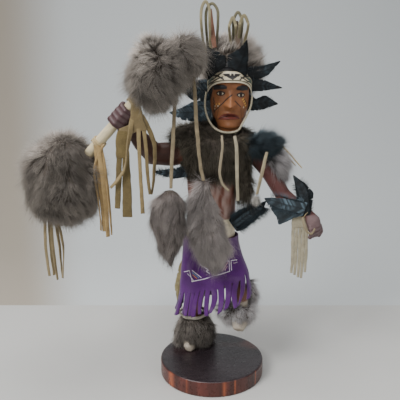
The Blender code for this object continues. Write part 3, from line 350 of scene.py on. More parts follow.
def finishOf(name, look):
    # A surface whose colour, or whose piece's own tint, is mottled by noise,
    # with a roughness that varies and bumps at several sizes. Each mottle is a
    # size and the darkest and lightest share; each bump a size and a depth.
    made = bpy.data.materials.new(name)
    made.use_nodes = True
    tree = made.node_tree
    shader = tree.nodes["Principled BSDF"]
    space = addNode(tree, "TexCoord", {}).outputs["Object"]
    if "space" in look:
        space = addNode(tree, "Attribute", {}, attribute_name=look["space"]).outputs["Vector"]
    if "stretch" in look:
        space = addNode(tree, "Mapping", {"Vector": space, "Scale": look["stretch"]}).outputs["Vector"]
    if "colour" in look:
        colour = (*ink(look["colour"]), 1)
    else:
        colour = addNode(tree, "Attribute", {}, attribute_name="tint").outputs["Color"]
    for size, low, high in look["mottle"]:
        level = levelOf(tree, noiseOf(tree, space, size, 5.0, 0.62), low, high)
        colour = addNode(tree, "MixRGB", {"Fac": 1.0, "Color1": colour, "Color2": level},
                         blend_type="MULTIPLY").outputs[0]
    tree.links.new(colour, shader.inputs["Base Color"])
    level = levelOf(tree, noiseOf(tree, space, look["mottle"][-1][0], 3.0, 0.5), *look["roughness"])
    tree.links.new(level, shader.inputs["Roughness"])
    normal = None
    for size, depth in look.get("bumps", ()):
        inputs = {"Height": noiseOf(tree, space, size, 6.0, 0.6), "Distance": depth, "Strength": 1.0}
        if normal:
            inputs["Normal"] = normal
        normal = addNode(tree, "Bump", inputs).outputs[0]
    if normal:
        tree.links.new(normal, shader.inputs["Normal"])
    for socket, value in look.get("also", {}).items():
        shader.inputs[socket].default_value = value
    return made


matte = {"Specular IOR Level": 0.25}
suedeSoft = {"Specular IOR Level": 0.1, "Sheen Weight": 0.25, "Sheen Roughness": 0.5}
finishLooks = {
    "grey_fur": {"mottle": [(0.012, 0.82, 1.15)], "roughness": (0.55, 0.75), "also": matte},
    "undercoat": {"colour": "5d544c", "mottle": [(0.006, 0.6, 1.1), (0.0015, 0.7, 1.2)],
                  "roughness": (0.9, 1.0), "bumps": [(0.002, 0.0012)], "also": matte},
    "white_under": {"colour": "b3aea4", "mottle": [(0.004, 0.7, 1.15)], "roughness": (0.85, 0.95),
                    "bumps": [(0.002, 0.0008)]},
    "black_under": {"colour": "15181b", "mottle": [(0.005, 0.5, 1.2)], "roughness": (0.85, 0.95),
                    "bumps": [(0.002, 0.001)]},
    "carved": {"mottle": [(0.014, 0.86, 1.12), (0.0022, 0.9, 1.08)], "roughness": (0.42, 0.6),
               "bumps": [(0.006, 0.0005), (0.0012, 0.00012)], "also": {"Specular IOR Level": 0.4}},
    "cream_suede": {"mottle": [(0.008, 0.8, 1.1), (0.001, 0.86, 1.1)], "roughness": (0.85, 0.95),
                    "bumps": [(0.0007, 0.00018)], "also": suedeSoft},
    "purple_suede": {"mottle": [(0.016, 0.8, 1.18), (0.0012, 0.84, 1.12)], "roughness": (0.85, 0.95),
                     "bumps": [(0.0008, 0.00018)], "also": suedeSoft},
    "staff_wood": {"space": "grainSpace", "stretch": (1.0, 1.0, 0.07), "colour": "d8c9a4",
                   "mottle": [(0.003, 0.78, 1.08), (0.0009, 0.88, 1.06)], "roughness": (0.5, 0.65),
                   "bumps": [(0.0012, 0.00012)]},
    "base_top": {"stretch": (1.0, 3.2, 1.0), "mottle": [(0.02, 0.75, 1.4), (0.005, 0.94, 1.07)],
                 "roughness": (0.22, 0.42), "bumps": [(0.004, 0.00025), (0.0009, 0.00006)],
                 "also": {"Specular IOR Level": 0.5}},
    "straw": {"colour": "c8b183", "mottle": [(0.003, 0.8, 1.1)], "roughness": (0.4, 0.55)},
}
finishes = {name: finishOf(name, look) for name, look in finishLooks.items()}
featherFinishes = {  # sheen, gloss and roughness
    "black_feather": (0.35, 0.22, (0.48, 0.65)), "pale_feather": (0.1, 0.5, (0.3, 0.48)),
    "crisp_feather": (0.0, 0.12, (0.6, 0.75)),
}


def featherFinish(name, sheen, gloss, roughness):
    # Barbs run forward from the quill: stripes of the piece's barb space.
    made = finishOf(name, {"mottle": [(0.006, 0.75, 1.25)], "roughness": roughness,
                           "also": {"Specular IOR Level": gloss, "Sheen Weight": sheen,
                                    "Sheen Roughness": 0.35, "Sheen Tint": (0.55, 0.75, 0.9, 1)}})
    tree = made.node_tree
    shader = tree.nodes["Principled BSDF"]
    space = addNode(tree, "Attribute", {}, attribute_name="barbSpace").outputs["Vector"]
    wave = noiseOf(tree, space, 1 / 900, 3.0, 0.6)
    ridge = addNode(tree, "Bump", {"Height": wave, "Distance": 0.0005, "Strength": 1.0})
    tree.links.new(ridge.outputs[0], shader.inputs["Normal"])
    return made


for finishName, finishFacts in featherFinishes.items():
    finishes[finishName] = featherFinish(finishName, *finishFacts)
print("materials made")

# Laces, cords and straps


def tubeAlong(run, across, through, radius, count):
    # Rings of a round section: run + radius (across cos + through sin).
    angle = np.arange(count) * 2 * math.pi / count
    return run[:, None] + radius * (across[:, None] * np.cos(angle)[None, :, None]
                                    + through[:, None] * np.sin(angle)[None, :, None])


def ribbon(route, widths, thickness, steps, tint, twist=0.0, wave=0.0003, seed=0):
    # A flat lace with soft edges along a smooth run. Its section is a rounded
    # box, |cos|^0.5 by |sin|^0.5, turned about the run by the twist.
    run = smoothRun(at(route), steps)
    across, through = framesAlong(run)[1:]
    share = np.linspace(0, 1, steps)
    run = run + across * (wave * wobble(run, 0.008, seed))[:, None]
    half = np.interp(share, np.linspace(0, 1, len(widths)), widths) / 2
    half = half * (1 + 0.07 * wobble(run, 0.005, seed + 3))
    turn = twist * 2 * math.pi * share
    angle = np.arange(12) * math.pi / 6
    u = np.sign(np.cos(angle)) * np.abs(np.cos(angle)) ** 0.5
    v = np.sign(np.sin(angle)) * np.abs(np.sin(angle)) ** 0.5
    wide = half[:, None] * u
    deep = thickness / 2 * v[None]
    side = wide * np.cos(turn)[:, None] - deep * np.sin(turn)[:, None]
    back = wide * np.sin(turn)[:, None] + deep * np.cos(turn)[:, None]
    rings = run[:, None] + across[:, None] * side[..., None] + through[:, None] * back[..., None]
    points, faces = skin(rings)
    return points, faces, mottled(tint, points, (0.16, 0.006, seed + 5))


def twisted(route, diameter, steps, plies, pitch, tint):
    # A laid cord: each ply is a round strand wound about the run.
    run = smoothRun(at(route), steps)
    across, through = framesAlong(run)[1:]
    length = lengthAlong(run)
    ply = diameter * 0.31
    off = diameter / 2 - ply
    bodies = []
    for number in range(plies):
        turn = 2 * math.pi * (length / pitch + number / plies)
        middle = run + (across * np.cos(turn)[:, None] + through * np.sin(turn)[:, None]) * off
        points, faces = skin(tubeAlong(middle, across, through, ply, 8))
        bodies.append((points, faces, mottled(tint, points, (0.12, 0.003, number))))
    return joined(bodies)


cords = {
    "chin_lace_right": {"width": 0.0032, "thick": 0.0013, "farEnd": "bare", "tint": "91856e", "route": [
        (0.0095, -0.0185, 0.2795), (0.0098, -0.0225, 0.2740), (0.0100, -0.0245, 0.2650),
        (0.0080, -0.0250, 0.2500), (0.0075, -0.0255, 0.2380), (0.0105, -0.0260, 0.2260),
        (0.0180, -0.0265, 0.2180)]},
    "chin_lace_left": {"width": 0.0042, "thick": 0.0013, "farEnd": "bare", "tint": "9a917b", "route": [
        (0.0240, -0.0185, 0.2790), (0.0248, -0.0225, 0.2740), (0.0262, -0.0245, 0.2640),
        (0.0268, -0.0250, 0.2500), (0.0270, -0.0250, 0.2350), (0.0276, -0.0245, 0.2200),
        (0.0282, -0.0240, 0.2060)]},
    "strap_outer": {"width": 0.0044, "thick": 0.0015, "farEnd": "object", "tint": "857860", "route": [
        (-0.0412, -0.0360, 0.3300), (-0.0425, -0.0365, 0.3050), (-0.0440, -0.0370, 0.2800),
        (-0.0455, -0.0370, 0.2550), (-0.0465, -0.0370, 0.2380), (-0.0470, -0.0370, 0.2230)]},
    "strap_inner": {"width": 0.0044, "thick": 0.0015, "farEnd": "object", "tint": "857860", "route": [
        (-0.0225, -0.0330, 0.3500), (-0.0205, -0.0335, 0.3300), (-0.0190, -0.0340, 0.3000),
        (-0.0170, -0.0345, 0.2750), (-0.0145, -0.0345, 0.2500), (-0.0110, -0.0340, 0.2310)]},
    "wrist_loop_left": {"width": 0.0026, "thick": 0.0013, "farEnd": "object", "tint": "857860", "route": [
        (0.1050, -0.0140, 0.1840), (0.1060, -0.0190, 0.1760), (0.1100, -0.0205, 0.1680),
        (0.1150, -0.0205, 0.1660), (0.1185, -0.0200, 0.1720)]},
    "shoulder_lace": {"width": 0.0038, "thick": 0.0014, "farEnd": "bare", "tint": "aa9d80", "route": [
        (0.0606, -0.0185, 0.2610), (0.0590, -0.0195, 0.2540), (0.0565, -0.0190, 0.2420),
        (0.0540, -0.0180, 0.2290), (0.0520, -0.0170, 0.2180), (0.0512, -0.0165, 0.2120)],
        "piece": "shoulder_cord", "widths": [0.0030, 0.0044, 0.0040], "twist": 0.12, "seed": 5},
}
faceCord = {"diameter": 0.0026, "plies": 2, "pitch": 0.0042, "tint": "b5ac94", "route": [
    (-0.0075, 0.0040, 0.3270), (-0.0090, 0.0020, 0.3180), (-0.0085, -0.0020, 0.3060),
    (-0.0045, -0.0080, 0.2950), (0.0020, -0.0125, 0.2872), (0.0100, -0.0150, 0.2835),
    (0.0190, -0.0158, 0.2828), (0.0280, -0.0145, 0.2852), (0.0332, -0.0105, 0.2925),
    (0.0385, -0.0055, 0.3015), (0.0432, 0.0000, 0.3120), (0.0447, 0.0040, 0.3230)]}


def makeCords():
    # Each free lace narrows a little at its ends unless its own widths are given.
    for node, look in cords.items():
        width = look["width"]
        widths = look.get("widths", [width * 0.85, width, width * 0.8])
        body = ribbon(look["route"], widths, look["thick"], 60, look["tint"], look.get("twist", 0.0),
                      seed=look.get("seed", len(node)))
        piece = placed(look.get("piece", node + "_lace"), body, "cream_suede", node, "cream_suede")
    body = twisted(faceCord["route"], faceCord["diameter"], 200, faceCord["plies"], faceCord["pitch"],
                   faceCord["tint"])
    placed("face_cord_laid", body, "cream_suede", "face_cord", "cream_suede")


makeCords()
print("cords made")

# Base and staff

baseLook = {
    "radius": 0.0640, "bevel": 0.0014, "top": "2a2326", "edge": "4a221b", "streak": "a05432",
    "patch": "6a3f36",
    # Each orange streak's place in degrees round the edge, and its width.
    "streaks": [(-140, 0.07), (-78, 0.030), (-66, 0.012), (-118, 0.012), (-36, 0.012), (60, 0.05)],
}


def makeBase():
    # A turned disc: rings from the underside's edge round to the top's middle.
    look = baseLook
    r, bevel, high, count = look["radius"], look["bevel"], baseTop, 240
    profile = [(r * 0.2, 0), (r * 0.8, 0), (r - bevel, 0), (r - bevel * 0.3, bevel * 0.3), (r, bevel)]
    profile += [(r, z) for z in np.linspace(bevel * 1.6, high - bevel * 1.6, 10)]
    profile += [(r, high - bevel), (r - bevel * 0.3, high - bevel * 0.3), (r - bevel, high)]
    profile += [(r * share, high) for share in np.linspace(0.94, 0.04, 24)]
    radii, heights = np.array(profile).T
    angle = ringOf(count)
    rings = np.stack((radii[:, None] * np.cos(angle), radii[:, None] * np.sin(angle),
                      np.broadcast_to(heights[:, None], (len(radii), count))), -1)
    points, faces = skin(rings)
    # The edge's red brown is streaked up and down with orange, with painted light at its front left
    # and painted shade at its front right; the top is near black with redder patches.
    around = np.arctan2(points[:, 1], points[:, 0])
    onEdge = np.stack((around * 0.06, points[:, 2] * 0.12, np.zeros(len(points))), -1)
    fine = wobble(onEdge * (1, 0.06, 1), 0.0020, 3)
    tint = ink(look["edge"]) * (1 + 0.3 * wobble(onEdge, 0.006, 1) + 0.16 * fine)[:, None]
    # Painted light and shade: lighter at the front left, which faces the light, and darker at the front
    # right.
    tint = tint * (1 + 0.35 * bump(around + 2.5, 0.7) - 0.3 * bump(around + 0.6, 0.6))[:, None]
    streaks = sum(bump(around - math.radians(turn), width) for turn, width in look["streaks"])
    tint = painted(tint, np.clip(streaks * (0.75 + 0.4 * wobble(onEdge, 0.003, 2)), 0, 1), look["streak"])
    isTop = eased(points[:, 2], high - 0.0008, high - 0.0001)
    patches = eased(wobble(points, 0.03, 4), 0.0, 0.8) * eased(points[:, 1], -0.01, 0.05)
    top = painted(ink(look["top"]), patches * 0.6, look["patch"])
    tint = tint + (top - tint) * isTop[:, None]
    placed("base_disc", (points, faces, tint), "base_top", "base", "base_wood")


staffLook = {"low": (-0.1650, -0.0085, 0.2330), "high": (-0.0620, -0.0360, 0.3430), "radius": 0.0059,
             "knots": [(0.47, -1.2), (0.72, -1.9), (0.2, -2.4)]}  # share of the length, turn
staffLow, staffHigh, staffRadius = at(staffLook["low"]), at(staffLook["high"]), staffLook["radius"]
staffAlong = unit(staffHigh - staffLow)
staffAcross = unit(np.cross(staffAlong, (0, 1, 0)))
staffThrough = np.cross(staffAcross, staffAlong)


def staffPlace(share):
    # A place on the staff's middle line, by its share of the way up.
    return staffLow + (staffHigh - staffLow) * share


def staffRound(turn):
    # The ways out from the staff's middle at these turns round it.
    return staffAcross * np.cos(turn)[:, None] + staffThrough * np.sin(turn)[:, None]


def makeStaff():
    # A peeled stick, a little out of round, with a few small knots:
    # radius + 0.25 mm wobble + 0.6 mm exp(-(distance to a knot / 2.2 mm)^2).
    rows, count = 90, 32
    middle = staffPlace(np.linspace(0, 1, rows)[:, None])
    ways = staffRound(ringOf(count))
    rings = middle[:, None] + ways[None] * staffRadius
    flat = rings.reshape(-1, 3)
    swell = 0.00025 * wobble(flat, 0.012, 7)
    for place, turn in staffLook["knots"]:
        knot = staffPlace(place) + staffRound(np.array([turn]))[0] * staffRadius
        swell = swell + 0.0006 * bump(np.linalg.norm(flat - knot, axis=1), 0.0022)
    rings = rings + ways[None] * swell.reshape(rows, count, 1)
    points, faces = skin(rings)
    away = points - staffLow
    space = np.stack((away @ staffAcross, away @ staffThrough, away @ staffAlong), -1)
    placed("staff_stick", (points, faces), "staff_wood", "staff", "staff_wood", spaces={"grainSpace": space})


makeBase()
makeStaff()
print("base and staff made")

# Carved figure

headX, headY = 0.0190, 0.0150  # the head's middle
perDegree = 0.0196  # how far a degree goes round the face, as a share of the head's half width
headRows = {
    "wide": [(0.2800, 0.0090), (0.2840, 0.0125), (0.2900, 0.0165), (0.3000, 0.0198), (0.3120, 0.0222),
             (0.3260, 0.0235), (0.3380, 0.0235), (0.3460, 0.0215), (0.3540, 0.0165), (0.3600, 0.0095)],
    "front": [(0.2800, 0.0160), (0.2840, 0.0260), (0.2900, 0.0290), (0.3000, 0.0300), (0.3120, 0.0305),
              (0.3260, 0.0305), (0.3380, 0.0305), (0.3460, 0.0275), (0.3540, 0.0200), (0.3600, 0.0110)],
    "back": [(0.2800, 0.0110), (0.2840, 0.0150), (0.2900, 0.0200), (0.3000, 0.0250), (0.3120, 0.0290),
             (0.3260, 0.0320), (0.3380, 0.0315), (0.3460, 0.0280), (0.3540, 0.0210), (0.3600, 0.0120)],
}
faceBumps = [  # distance beside the nose, height, half width, half height, how far out
    (0.0110, 0.3322, 0.0070, 0.0026, 0.0026), (0.0118, 0.3262, 0.0062, 0.0040, -0.0026),
    (0.0118, 0.3262, 0.0036, 0.0020, 0.0016), (0.0150, 0.3120, 0.0050, 0.0060, 0.0018),
    (0.0000, 0.3042, 0.0080, 0.0017, 0.0020), (0.0000, 0.2985, 0.0070, 0.0018, 0.0022),
    (0.0000, 0.3013, 0.0100, 0.0009, -0.0020), (0.0000, 0.2900, 0.0065, 0.0038, 0.0022),
]
noseTop, noseTip, noseReach = 0.3300, 0.3110, 0.0100


def headReach(z, angle):
    # Half axes by height, on a section of |sin|^0.86 by |cos|^0.86 in front.
    front = np.cos(angle) > 0
    wide = readOff(headRows["wide"], z)
    deep = np.where(front, readOff(headRows["front"], z), readOff(headRows["back"], z))
    square = np.where(front, 0.86, 1.0)
    side = np.abs(np.sin(angle)) ** square * np.sign(np.sin(angle))
    fore = np.abs(np.cos(angle)) ** square * np.sign(np.cos(angle))
    return side * wide, fore * deep


def faceRelief(x, z):
    # Brows, eye hollows, lids, cheeks, lips and chin are bumps; the nose is a
    # ridge that widens and comes forward to its tip, with a nostril each side.
    out = np.zeros_like(x)
    for side, height, wide, high, reach in faceBumps:
        droop = 4 * x * x if side == 0.0 and height < 0.3060 else 0.0
        out += reach * bump(z - height + droop, high) * bump(np.abs(x) - side, wide)
    run = (noseTop - z) / (noseTop - noseTip)
    ridge = noseReach * run * bump(x, 0.0030 + 0.0018 * np.clip(run, 0, 1))
    ridge = ridge + 0.0030 * bump(run - 0.9, 0.16) * bump(np.abs(x) - 0.0052, 0.0024)
    below = noseReach * bump(run - 1, 0.16) * bump(x, 0.0048)
    return out + np.where((run > 0) & (run <= 1), ridge, 0) + np.where(run > 1, below, 0)


# The face is painted on its surface's own plane, in millimetres: u round the
# head from the nose, and height above the base's top.
facePaint = {
    "skin": "855432", "hair": "1b1a1c", "line": "241a18", "mouth": "6b3127", "white": "c2b69e",
    "iris": "2a1c16", "yellow": "cfa14a", "hollowShade": "4a2c1c", "hairLine": 344,
    "hollows": [(-11.6, 326.4), (12.6, 324.6)], "eyes": [(-11.4, 325.7), (12.6, 323.9)],
    "dots": [(-20.3, 311.7), (-17.9, 313.6), (-15.3, 312.0), (-13.2, 314.2), (-21.0, 308.6)],
    "whiteDot": (17.2, 310.4), "dash": (16.0, 319.4), "dashStep": (2.0, -2.4),
    "zigzag": [(-22.4 - 1.5 * (k % 2) + 0.9 * math.sin(k / 2.6), 320.8 - 2.0 * k) for k in range(9)],
}
faceShapes = {
    "browLeft": [(-24.5, 334.2), (-16.8, 335.6), (-7.1, 335.2), (-3.2, 333.3), (-3.8, 330.6), (-12.0, 330.0),
                 (-22.8, 329.4)],
    "browRight": [(5.3, 330.9), (7.4, 333.5), (14.5, 335.0), (24.9, 333.6), (28.0, 329.9), (24.9, 327.4),
                  (14.5, 328.6), (8.1, 328.2)],
    "lips": [(-15.6, 296.6), (-13.0, 300.1), (-6.6, 303.3), (-1.2, 304.1), (3.6, 303.4), (9.0, 301.0),
             (11.8, 297.9), (6.2, 297.3), (-0.9, 296.9), (-9.3, 296.5)],
}
faceLines = {  # painted by half width and cover below
    "noseLeft": [(1.1, 324.3), (-8.5, 314.9), (-17.0, 308.8), (-24.0, 304.7)],
    "noseRight": [(4.4, 317.5), (8.4, 314.0), (12.2, 311.1)],
    "cheekRight": [(17.9, 319.5), (25.0, 314.0), (29.0, 307.0), (25.0, 301.0), (15.5, 297.0)],
    "mouth": [(-15.6, 297.0), (-8.0, 299.9), (-1.0, 300.9), (4.3, 300.5), (11.1, 298.3)],
    # The two creases are painted shade: soft dark strokes in the folds beside the mouth.
    "creaseLeft": [(-13.6, 309.5), (-16.4, 303.0), (-18.4, 297.0)],
    "creaseRight": [(12.6, 309.0), (14.0, 303.0), (14.6, 298.0)],
    "chin": [(-24, 292), (-12, 288), (0, 286), (12, 288), (22, 294)],
}
lineFacts = {"noseLeft": (0.6, 1.0), "noseRight": (0.6, 1.0), "cheekRight": (0.6, 0.85),
             "creaseLeft": (0.8, 0.35), "creaseRight": (0.8, 0.35)}
# Where hair begins beside the face, by height: rows of height and u.
hairEdge = [(292, -17.0), (296, -20.5), (304, -29.0), (312, -33.5), (318, -31.5), (323, -27.0), (329, -24.2),
            (345, -24.6)]
hairEdgeRight = [(288, 20.0), (300, 29.5), (312, 34.0), (320, 33.0), (327, 29.6), (345, 29.6)]


def faceTint(u, z, points):
    # Paint in its real order, each layer over the last: skin, painted shade in the eye hollows,
    # brows, eyes, lines with softer painted shade in the creases, lips, small marks and then the hair.
    spot = np.stack((u, z), -1)
    paint = facePaint
    tint = mottled(paint["skin"], points, (0.14, 0.009, 11), (0.06, 0.002, 13))
    hair = np.maximum(np.clip(readOff(hairEdge, z) - u, 0, 1), np.clip(u - readOff(hairEdgeRight, z), 0, 1))
    hair = np.maximum(hair, np.clip(z - paint["hairLine"], 0, 1))
    # Painted shade: the eye hollows are darkened where shade falls in them.
    hollowShade = sum(bump(u - side, 8.0) * bump(z - height, 3.4) for side, height in paint["hollows"])
    tint = painted(tint, 0.5 * np.clip(hollowShade, 0, 1), paint["hollowShade"])
    for name in ("browLeft", "browRight"):
        tint = painted(tint, filled(spot, faceShapes[name], 0.6), paint["hair"])
    for side, height in paint["eyes"]:
        # Each eye is an almond: |x / 5.6|^2 plus |h / 2.2|^1.6 is the same at its rim.
        x, h = u - side, z - height
        almond = np.abs(x / 5.6) ** 2 + np.abs(h / 2.2) ** 1.6
        lid = [(side - 5.4, height + 0.9), (side, height + 2.5), (side + 5.4, height + 0.9)]
        tint = painted(tint, np.clip((1.30 - almond) / 0.2, 0, 1), paint["line"])
        tint = painted(tint, np.clip((0.62 - almond) / 0.12, 0, 1), paint["white"])
        tint = painted(tint, dotted(spot, (side, height + 0.2), 2.3), paint["iris"])
        tint = painted(tint, stroke(spot, lid, 0.7), paint["line"])
    # Painted lines, and softer painted shade along the creases.
    for name, (half, cover) in lineFacts.items():
        tint = painted(tint, cover * stroke(spot, faceLines[name], half), paint["line"])
    tint = painted(tint, filled(spot, faceShapes["lips"]), paint["mouth"])
    tint = painted(tint, stroke(spot, faceLines["mouth"], 0.4), paint["line"])
    tint = painted(tint, stroke(spot, paint["zigzag"], 0.75), paint["line"])
    for k, place in enumerate(paint["dots"]):
        tint = painted(tint, dotted(spot, place, 0.95), paint["yellow" if k % 2 else "white"])
    for k in range(4):
        dash = np.array(paint["dash"]) + k * np.array(paint["dashStep"])
        tint = painted(tint, stroke(spot, [dash - (1.3, 0.5), dash + (1.3, 0.5)], 0.6), paint["yellow"])
    tint = painted(tint, dotted(spot, paint["whiteDot"], 1.0), paint["white"])
    tint = painted(tint, stroke(spot, faceLines["chin"], 0.4), paint["line"])
    return painted(tint, hair, paint["hair"])


def makeHead():
    # The head's section by height and turn, with the face's relief in front.
    front = np.radians(np.linspace(-84, 84, 180))
    back = np.radians(np.linspace(84, 276, 33)[1:-1])
    heights = np.linspace(0.2802, 0.3605, 165)
    z, turn = np.meshgrid(heights, np.concatenate((front, back)), indexing="ij")
    side, fore = headReach(z, turn)
    fore = fore + faceRelief(side, z) * np.sqrt(np.clip(np.cos(turn), 0, None))
    points, faces = skin(np.stack((headX + side, headY - fore, z + baseTop), -1))
    u = np.degrees(turn).ravel() * perDegree * readOff(headRows["wide"], z.ravel()) * 1000
    u = np.concatenate((u, (0, 0)))
    height = np.concatenate((z.ravel(), heights[[0, -1]])) * 1000
    points = points + (0.00022 * wobble(points, 0.004, 12))[:, None] * (0, 1, 0)
    placed("head", (points, faces, faceTint(u, height, points)), "carved", "carved_figure", "carved_wood")


bandLook = {  # the design's places are in millimetres, like the face's
    "ground": "c7bc9f", "dark": "231f1d", "edge": "ddd4be", "light": "e0d7bf", "green": "3a4a42",
    "low": 0.3376, "high": 0.3500, "lift": 0.0012, "thick": 0.0013, "halfWidth": 22.6, "drop": 0.0130,
    "wedges": [[(-8.5, 347.4), (11.5, 347.4), (8.5, 344.4), (-5.5, 344.4)],
               [(-5.4, 345.2), (8.4, 345.2), (1.5, 340.4)]],
    "bars": [-0.2, 3.0],
    "lines": [[(-29, 346.5), (-21, 344.4), (-9.5, 348.6)], [(-31, 343.0), (-22, 341.4), (-8.0, 344.0)],
              [(-24, 349.6), (-15, 346.2), (-7.0, 341.4)], [(11.0, 344.2), (20, 341.8), (30, 344.6)],
              [(12.5, 348.6), (21, 344.8), (31, 347.4)], [(9.5, 341.4), (18, 346.6), (26, 349.6)]],
    "sideWedge": [(20, 346.8), (31, 349.4), (34, 343.6), (24, 342.6)],
}


def makeBand():
    # The forehead's painted hide band: an arc of the head's section, lower at
    # its ends by the drop times (angle / 84 degrees)^2.4.
    look = bandLook
    levels = np.linspace(look["low"], look["high"], 30)
    z, turn = np.meshgrid(levels, np.radians(np.linspace(-86, 86, 260)), indexing="ij")
    drop = look["drop"] * (np.abs(turn) / math.radians(84)) ** 2.4
    side, fore = headReach(z - drop, turn)
    out = unit(np.stack((side, -fore), -1))
    section = np.stack((headX + side, headY - fore, z - drop + baseTop), -1)
    away = np.concatenate((out, np.zeros_like(out[..., :1])), -1)
    inner, outer = (section + away * lift for lift in (look["lift"], look["lift"] + look["thick"]))
    points, faces = skin(np.concatenate((inner, outer[::-1]), axis=0).transpose(1, 0, 2))
    u = np.degrees(turn) * perDegree * look["halfWidth"]
    u = np.concatenate((np.concatenate((u, u[::-1])).T.ravel(), (-38, 38)))
    h = np.concatenate((np.concatenate((z, z[::-1])).T.ravel() * 1000, (344, 344)))
    spot = np.stack((u, h), -1)
    tint = mottled(look["ground"], points, (0.14, 0.004, 21))
    for wedge in look["wedges"]:
        tint = painted(tint, filled(spot, wedge), look["dark"])
    for x in look["bars"]:
        tint = painted(tint, stroke(spot, [(x, 345.6), (x, 347.8)], 0.40), look["light"])
    for route in look["lines"]:
        tint = painted(tint, stroke(spot, route, 0.85), look["dark"])
    for side in (-1, 1):
        wedge = np.array(look["sideWedge"]) * (side, 1)
        tint = painted(tint, 0.8 * filled(spot, wedge), look["green"])
    tint = painted(tint, stroke(spot, [(-40, 340.0), (40, 340.0)], 0.6), look["dark"])
    tint = painted(tint, np.clip(338.9 - h, 0, 1), look["edge"])
    placed("headband_paint", (points, faces, tint), "carved", "headband", "painted_band")


bodyPaint = {
    "torso": "86503f", "streak": "cdb5aa", "natural": "efe2c4", "armRight": "472a20", "armLeft": "643e3a",
    "hand": "6f5a5a", "fist": "594546", "maroon": "3a151b", "moccasin": "a89d8d", "litToe": "b5aa99",
    "leg": "6a4030",
}
bodyZones = {  # where one paint ends and the next begins, by height or by x
    "waist": (0.1953, 0.1963), "hip": (0.1725, 0.1735), "rightShoulder": (-0.042, -0.036),
    "leftShoulder": (0.046, 0.052), "armLow": (0.17, 0.18), "wrist": (0.1090, 0.1110), "wristHigh": 0.2060,
    "fist": (0.0200, 0.0215), "knuckles": (0.188, 0.196), "knucklesIn": (0.1100, 0.1150),
    "rightAnkle": (0.046, 0.048), "leftAnkle": (0.094, 0.096), "leftFoot": (0.012, 0.014),
    "rightToe": (0.034, 0.038), "toeSide": (0, 0.01), "chestRight": (-0.012, 0.0),
    "chestLeft": (0.016, 0.026),
}
fistShare, fingerPitch = 0.625, 0.0064  # where the fist holds the staff, and a finger's width


def bodyTint(points):
    # Which part of the body each point is on, by its place, with painted highlight streaks on the chest and
    # painted light on the right toe.
    x, y, z = points.T
    paint, zones = bodyPaint, bodyZones
    tint = mottled(paint["torso"], points, (0.12, 0.012, 31))
    # Painted highlight: pale streaks across the chest where light glints on it.
    gleam = np.stack((x, y * 0.3, z * 0.22), -1)
    paleCover = eased(wobble(gleam, 0.003, 32), -0.5, 0.5) * eased(x, *zones["chestRight"])
    paleCover = paleCover * (1 - eased(x, *zones["chestLeft"]))
    tint = painted(tint, np.clip(paleCover * 0.75, 0, 1), paint["streak"])
    tint = painted(tint, 1 - eased(z, *zones["waist"]), paint["natural"])
    tint = painted(tint, 1 - eased(z, *zones["hip"]), paint["leg"])
    tint = painted(tint, 1 - eased(x, *zones["rightShoulder"]), paint["armRight"])
    tint = painted(tint, eased(x, *zones["leftShoulder"]) * eased(z, *zones["armLow"]), paint["armLeft"])
    isHand = eased(x, *zones["wrist"]) * eased(zones["wristHigh"] - z, 0, 0.002)
    tint = painted(tint, isHand, paint["hand"])
    fromFist = points - staffPlace(fistShare)
    isFist = 1 - eased(np.linalg.norm(fromFist, axis=1), *zones["fist"])
    tint = painted(tint, isFist, paint["fist"])
    # Maroon lines lie between the fingers of each hand.
    between = np.abs((fromFist @ staffAlong / fingerPitch + 1.0) % 1 - 0.5)
    tint = painted(tint, isFist * bump(between, 0.17) * eased(-y, -0.02, 0.03), paint["maroon"])
    fingers = (0.35 * x - 0.94 * z + 0.0006 * wobble(points, 0.005, 35)) / 0.0044
    between = np.abs((fingers + 0.5) % 1 - 0.5)
    curled = (1 - eased(z, *zones["knuckles"])) * eased(x, *zones["knucklesIn"])
    tint = painted(tint, 0.9 * isHand * bump(between, 0.16) * curled, paint["maroon"])
    moccasins = (1 - eased(z, *zones["rightAnkle"])) + (1 - eased(z, *zones["leftAnkle"])) * eased(
        x, *zones["leftFoot"])
    tint = painted(tint, np.clip(moccasins, 0, 1), paint["moccasin"])
    # Painted light: the right toe is lighter than the rest of the moccasins, making up for the fur's shade
    # over it.
    return painted(tint, (1 - eased(z, *zones["rightToe"])) * (1 - eased(x, *zones["toeSide"])), paint["litToe"])


def makeBody():
    # The whole figure again in fine squares. What is under the head's own
    # piece is drawn in towards the head's middle.
    points, quads, normals = remeshed("carved_figure", 0.00135, 2)
    middle = np.array((headX, headY + 0.002, 0.3360))
    aside = np.hypot(points[:, 0] - headX, points[:, 1] - headY)
    inside = eased(points[:, 2], 0.2995, 0.3050) * (1 - eased(aside, 0.045, 0.05))
    points = points + (middle - points) * (0.22 * inside)[:, None]
    tint = bodyTint(points)
    points = points + normals * (0.00025 * wobble(points, 0.006, 33))[:, None] * (1 - inside)[:, None]
    placed("carved_body", (points, [quads], tint), "carved", "carved_figure", "carved_wood")


makeHead()
makeBand()
makeBody()
print("figure made")

# Spikes, for fur, down and loose barbs

# A spike's four faces by their corners, and where each lies in its cell of the map.
spikeTurns = np.array(((0, 2, 1), (0, 1, 3), (1, 2, 3), (2, 0, 3)))
spikeSpots = np.array((((0, 0), (0.67, 0), (0.33, 0)), ((0, 0), (0.33, 0), (0.17, 1)),
                       ((0.33, 0), (0.67, 0), (0.5, 1)), ((0.67, 0), (1, 0), (0.83, 1))))


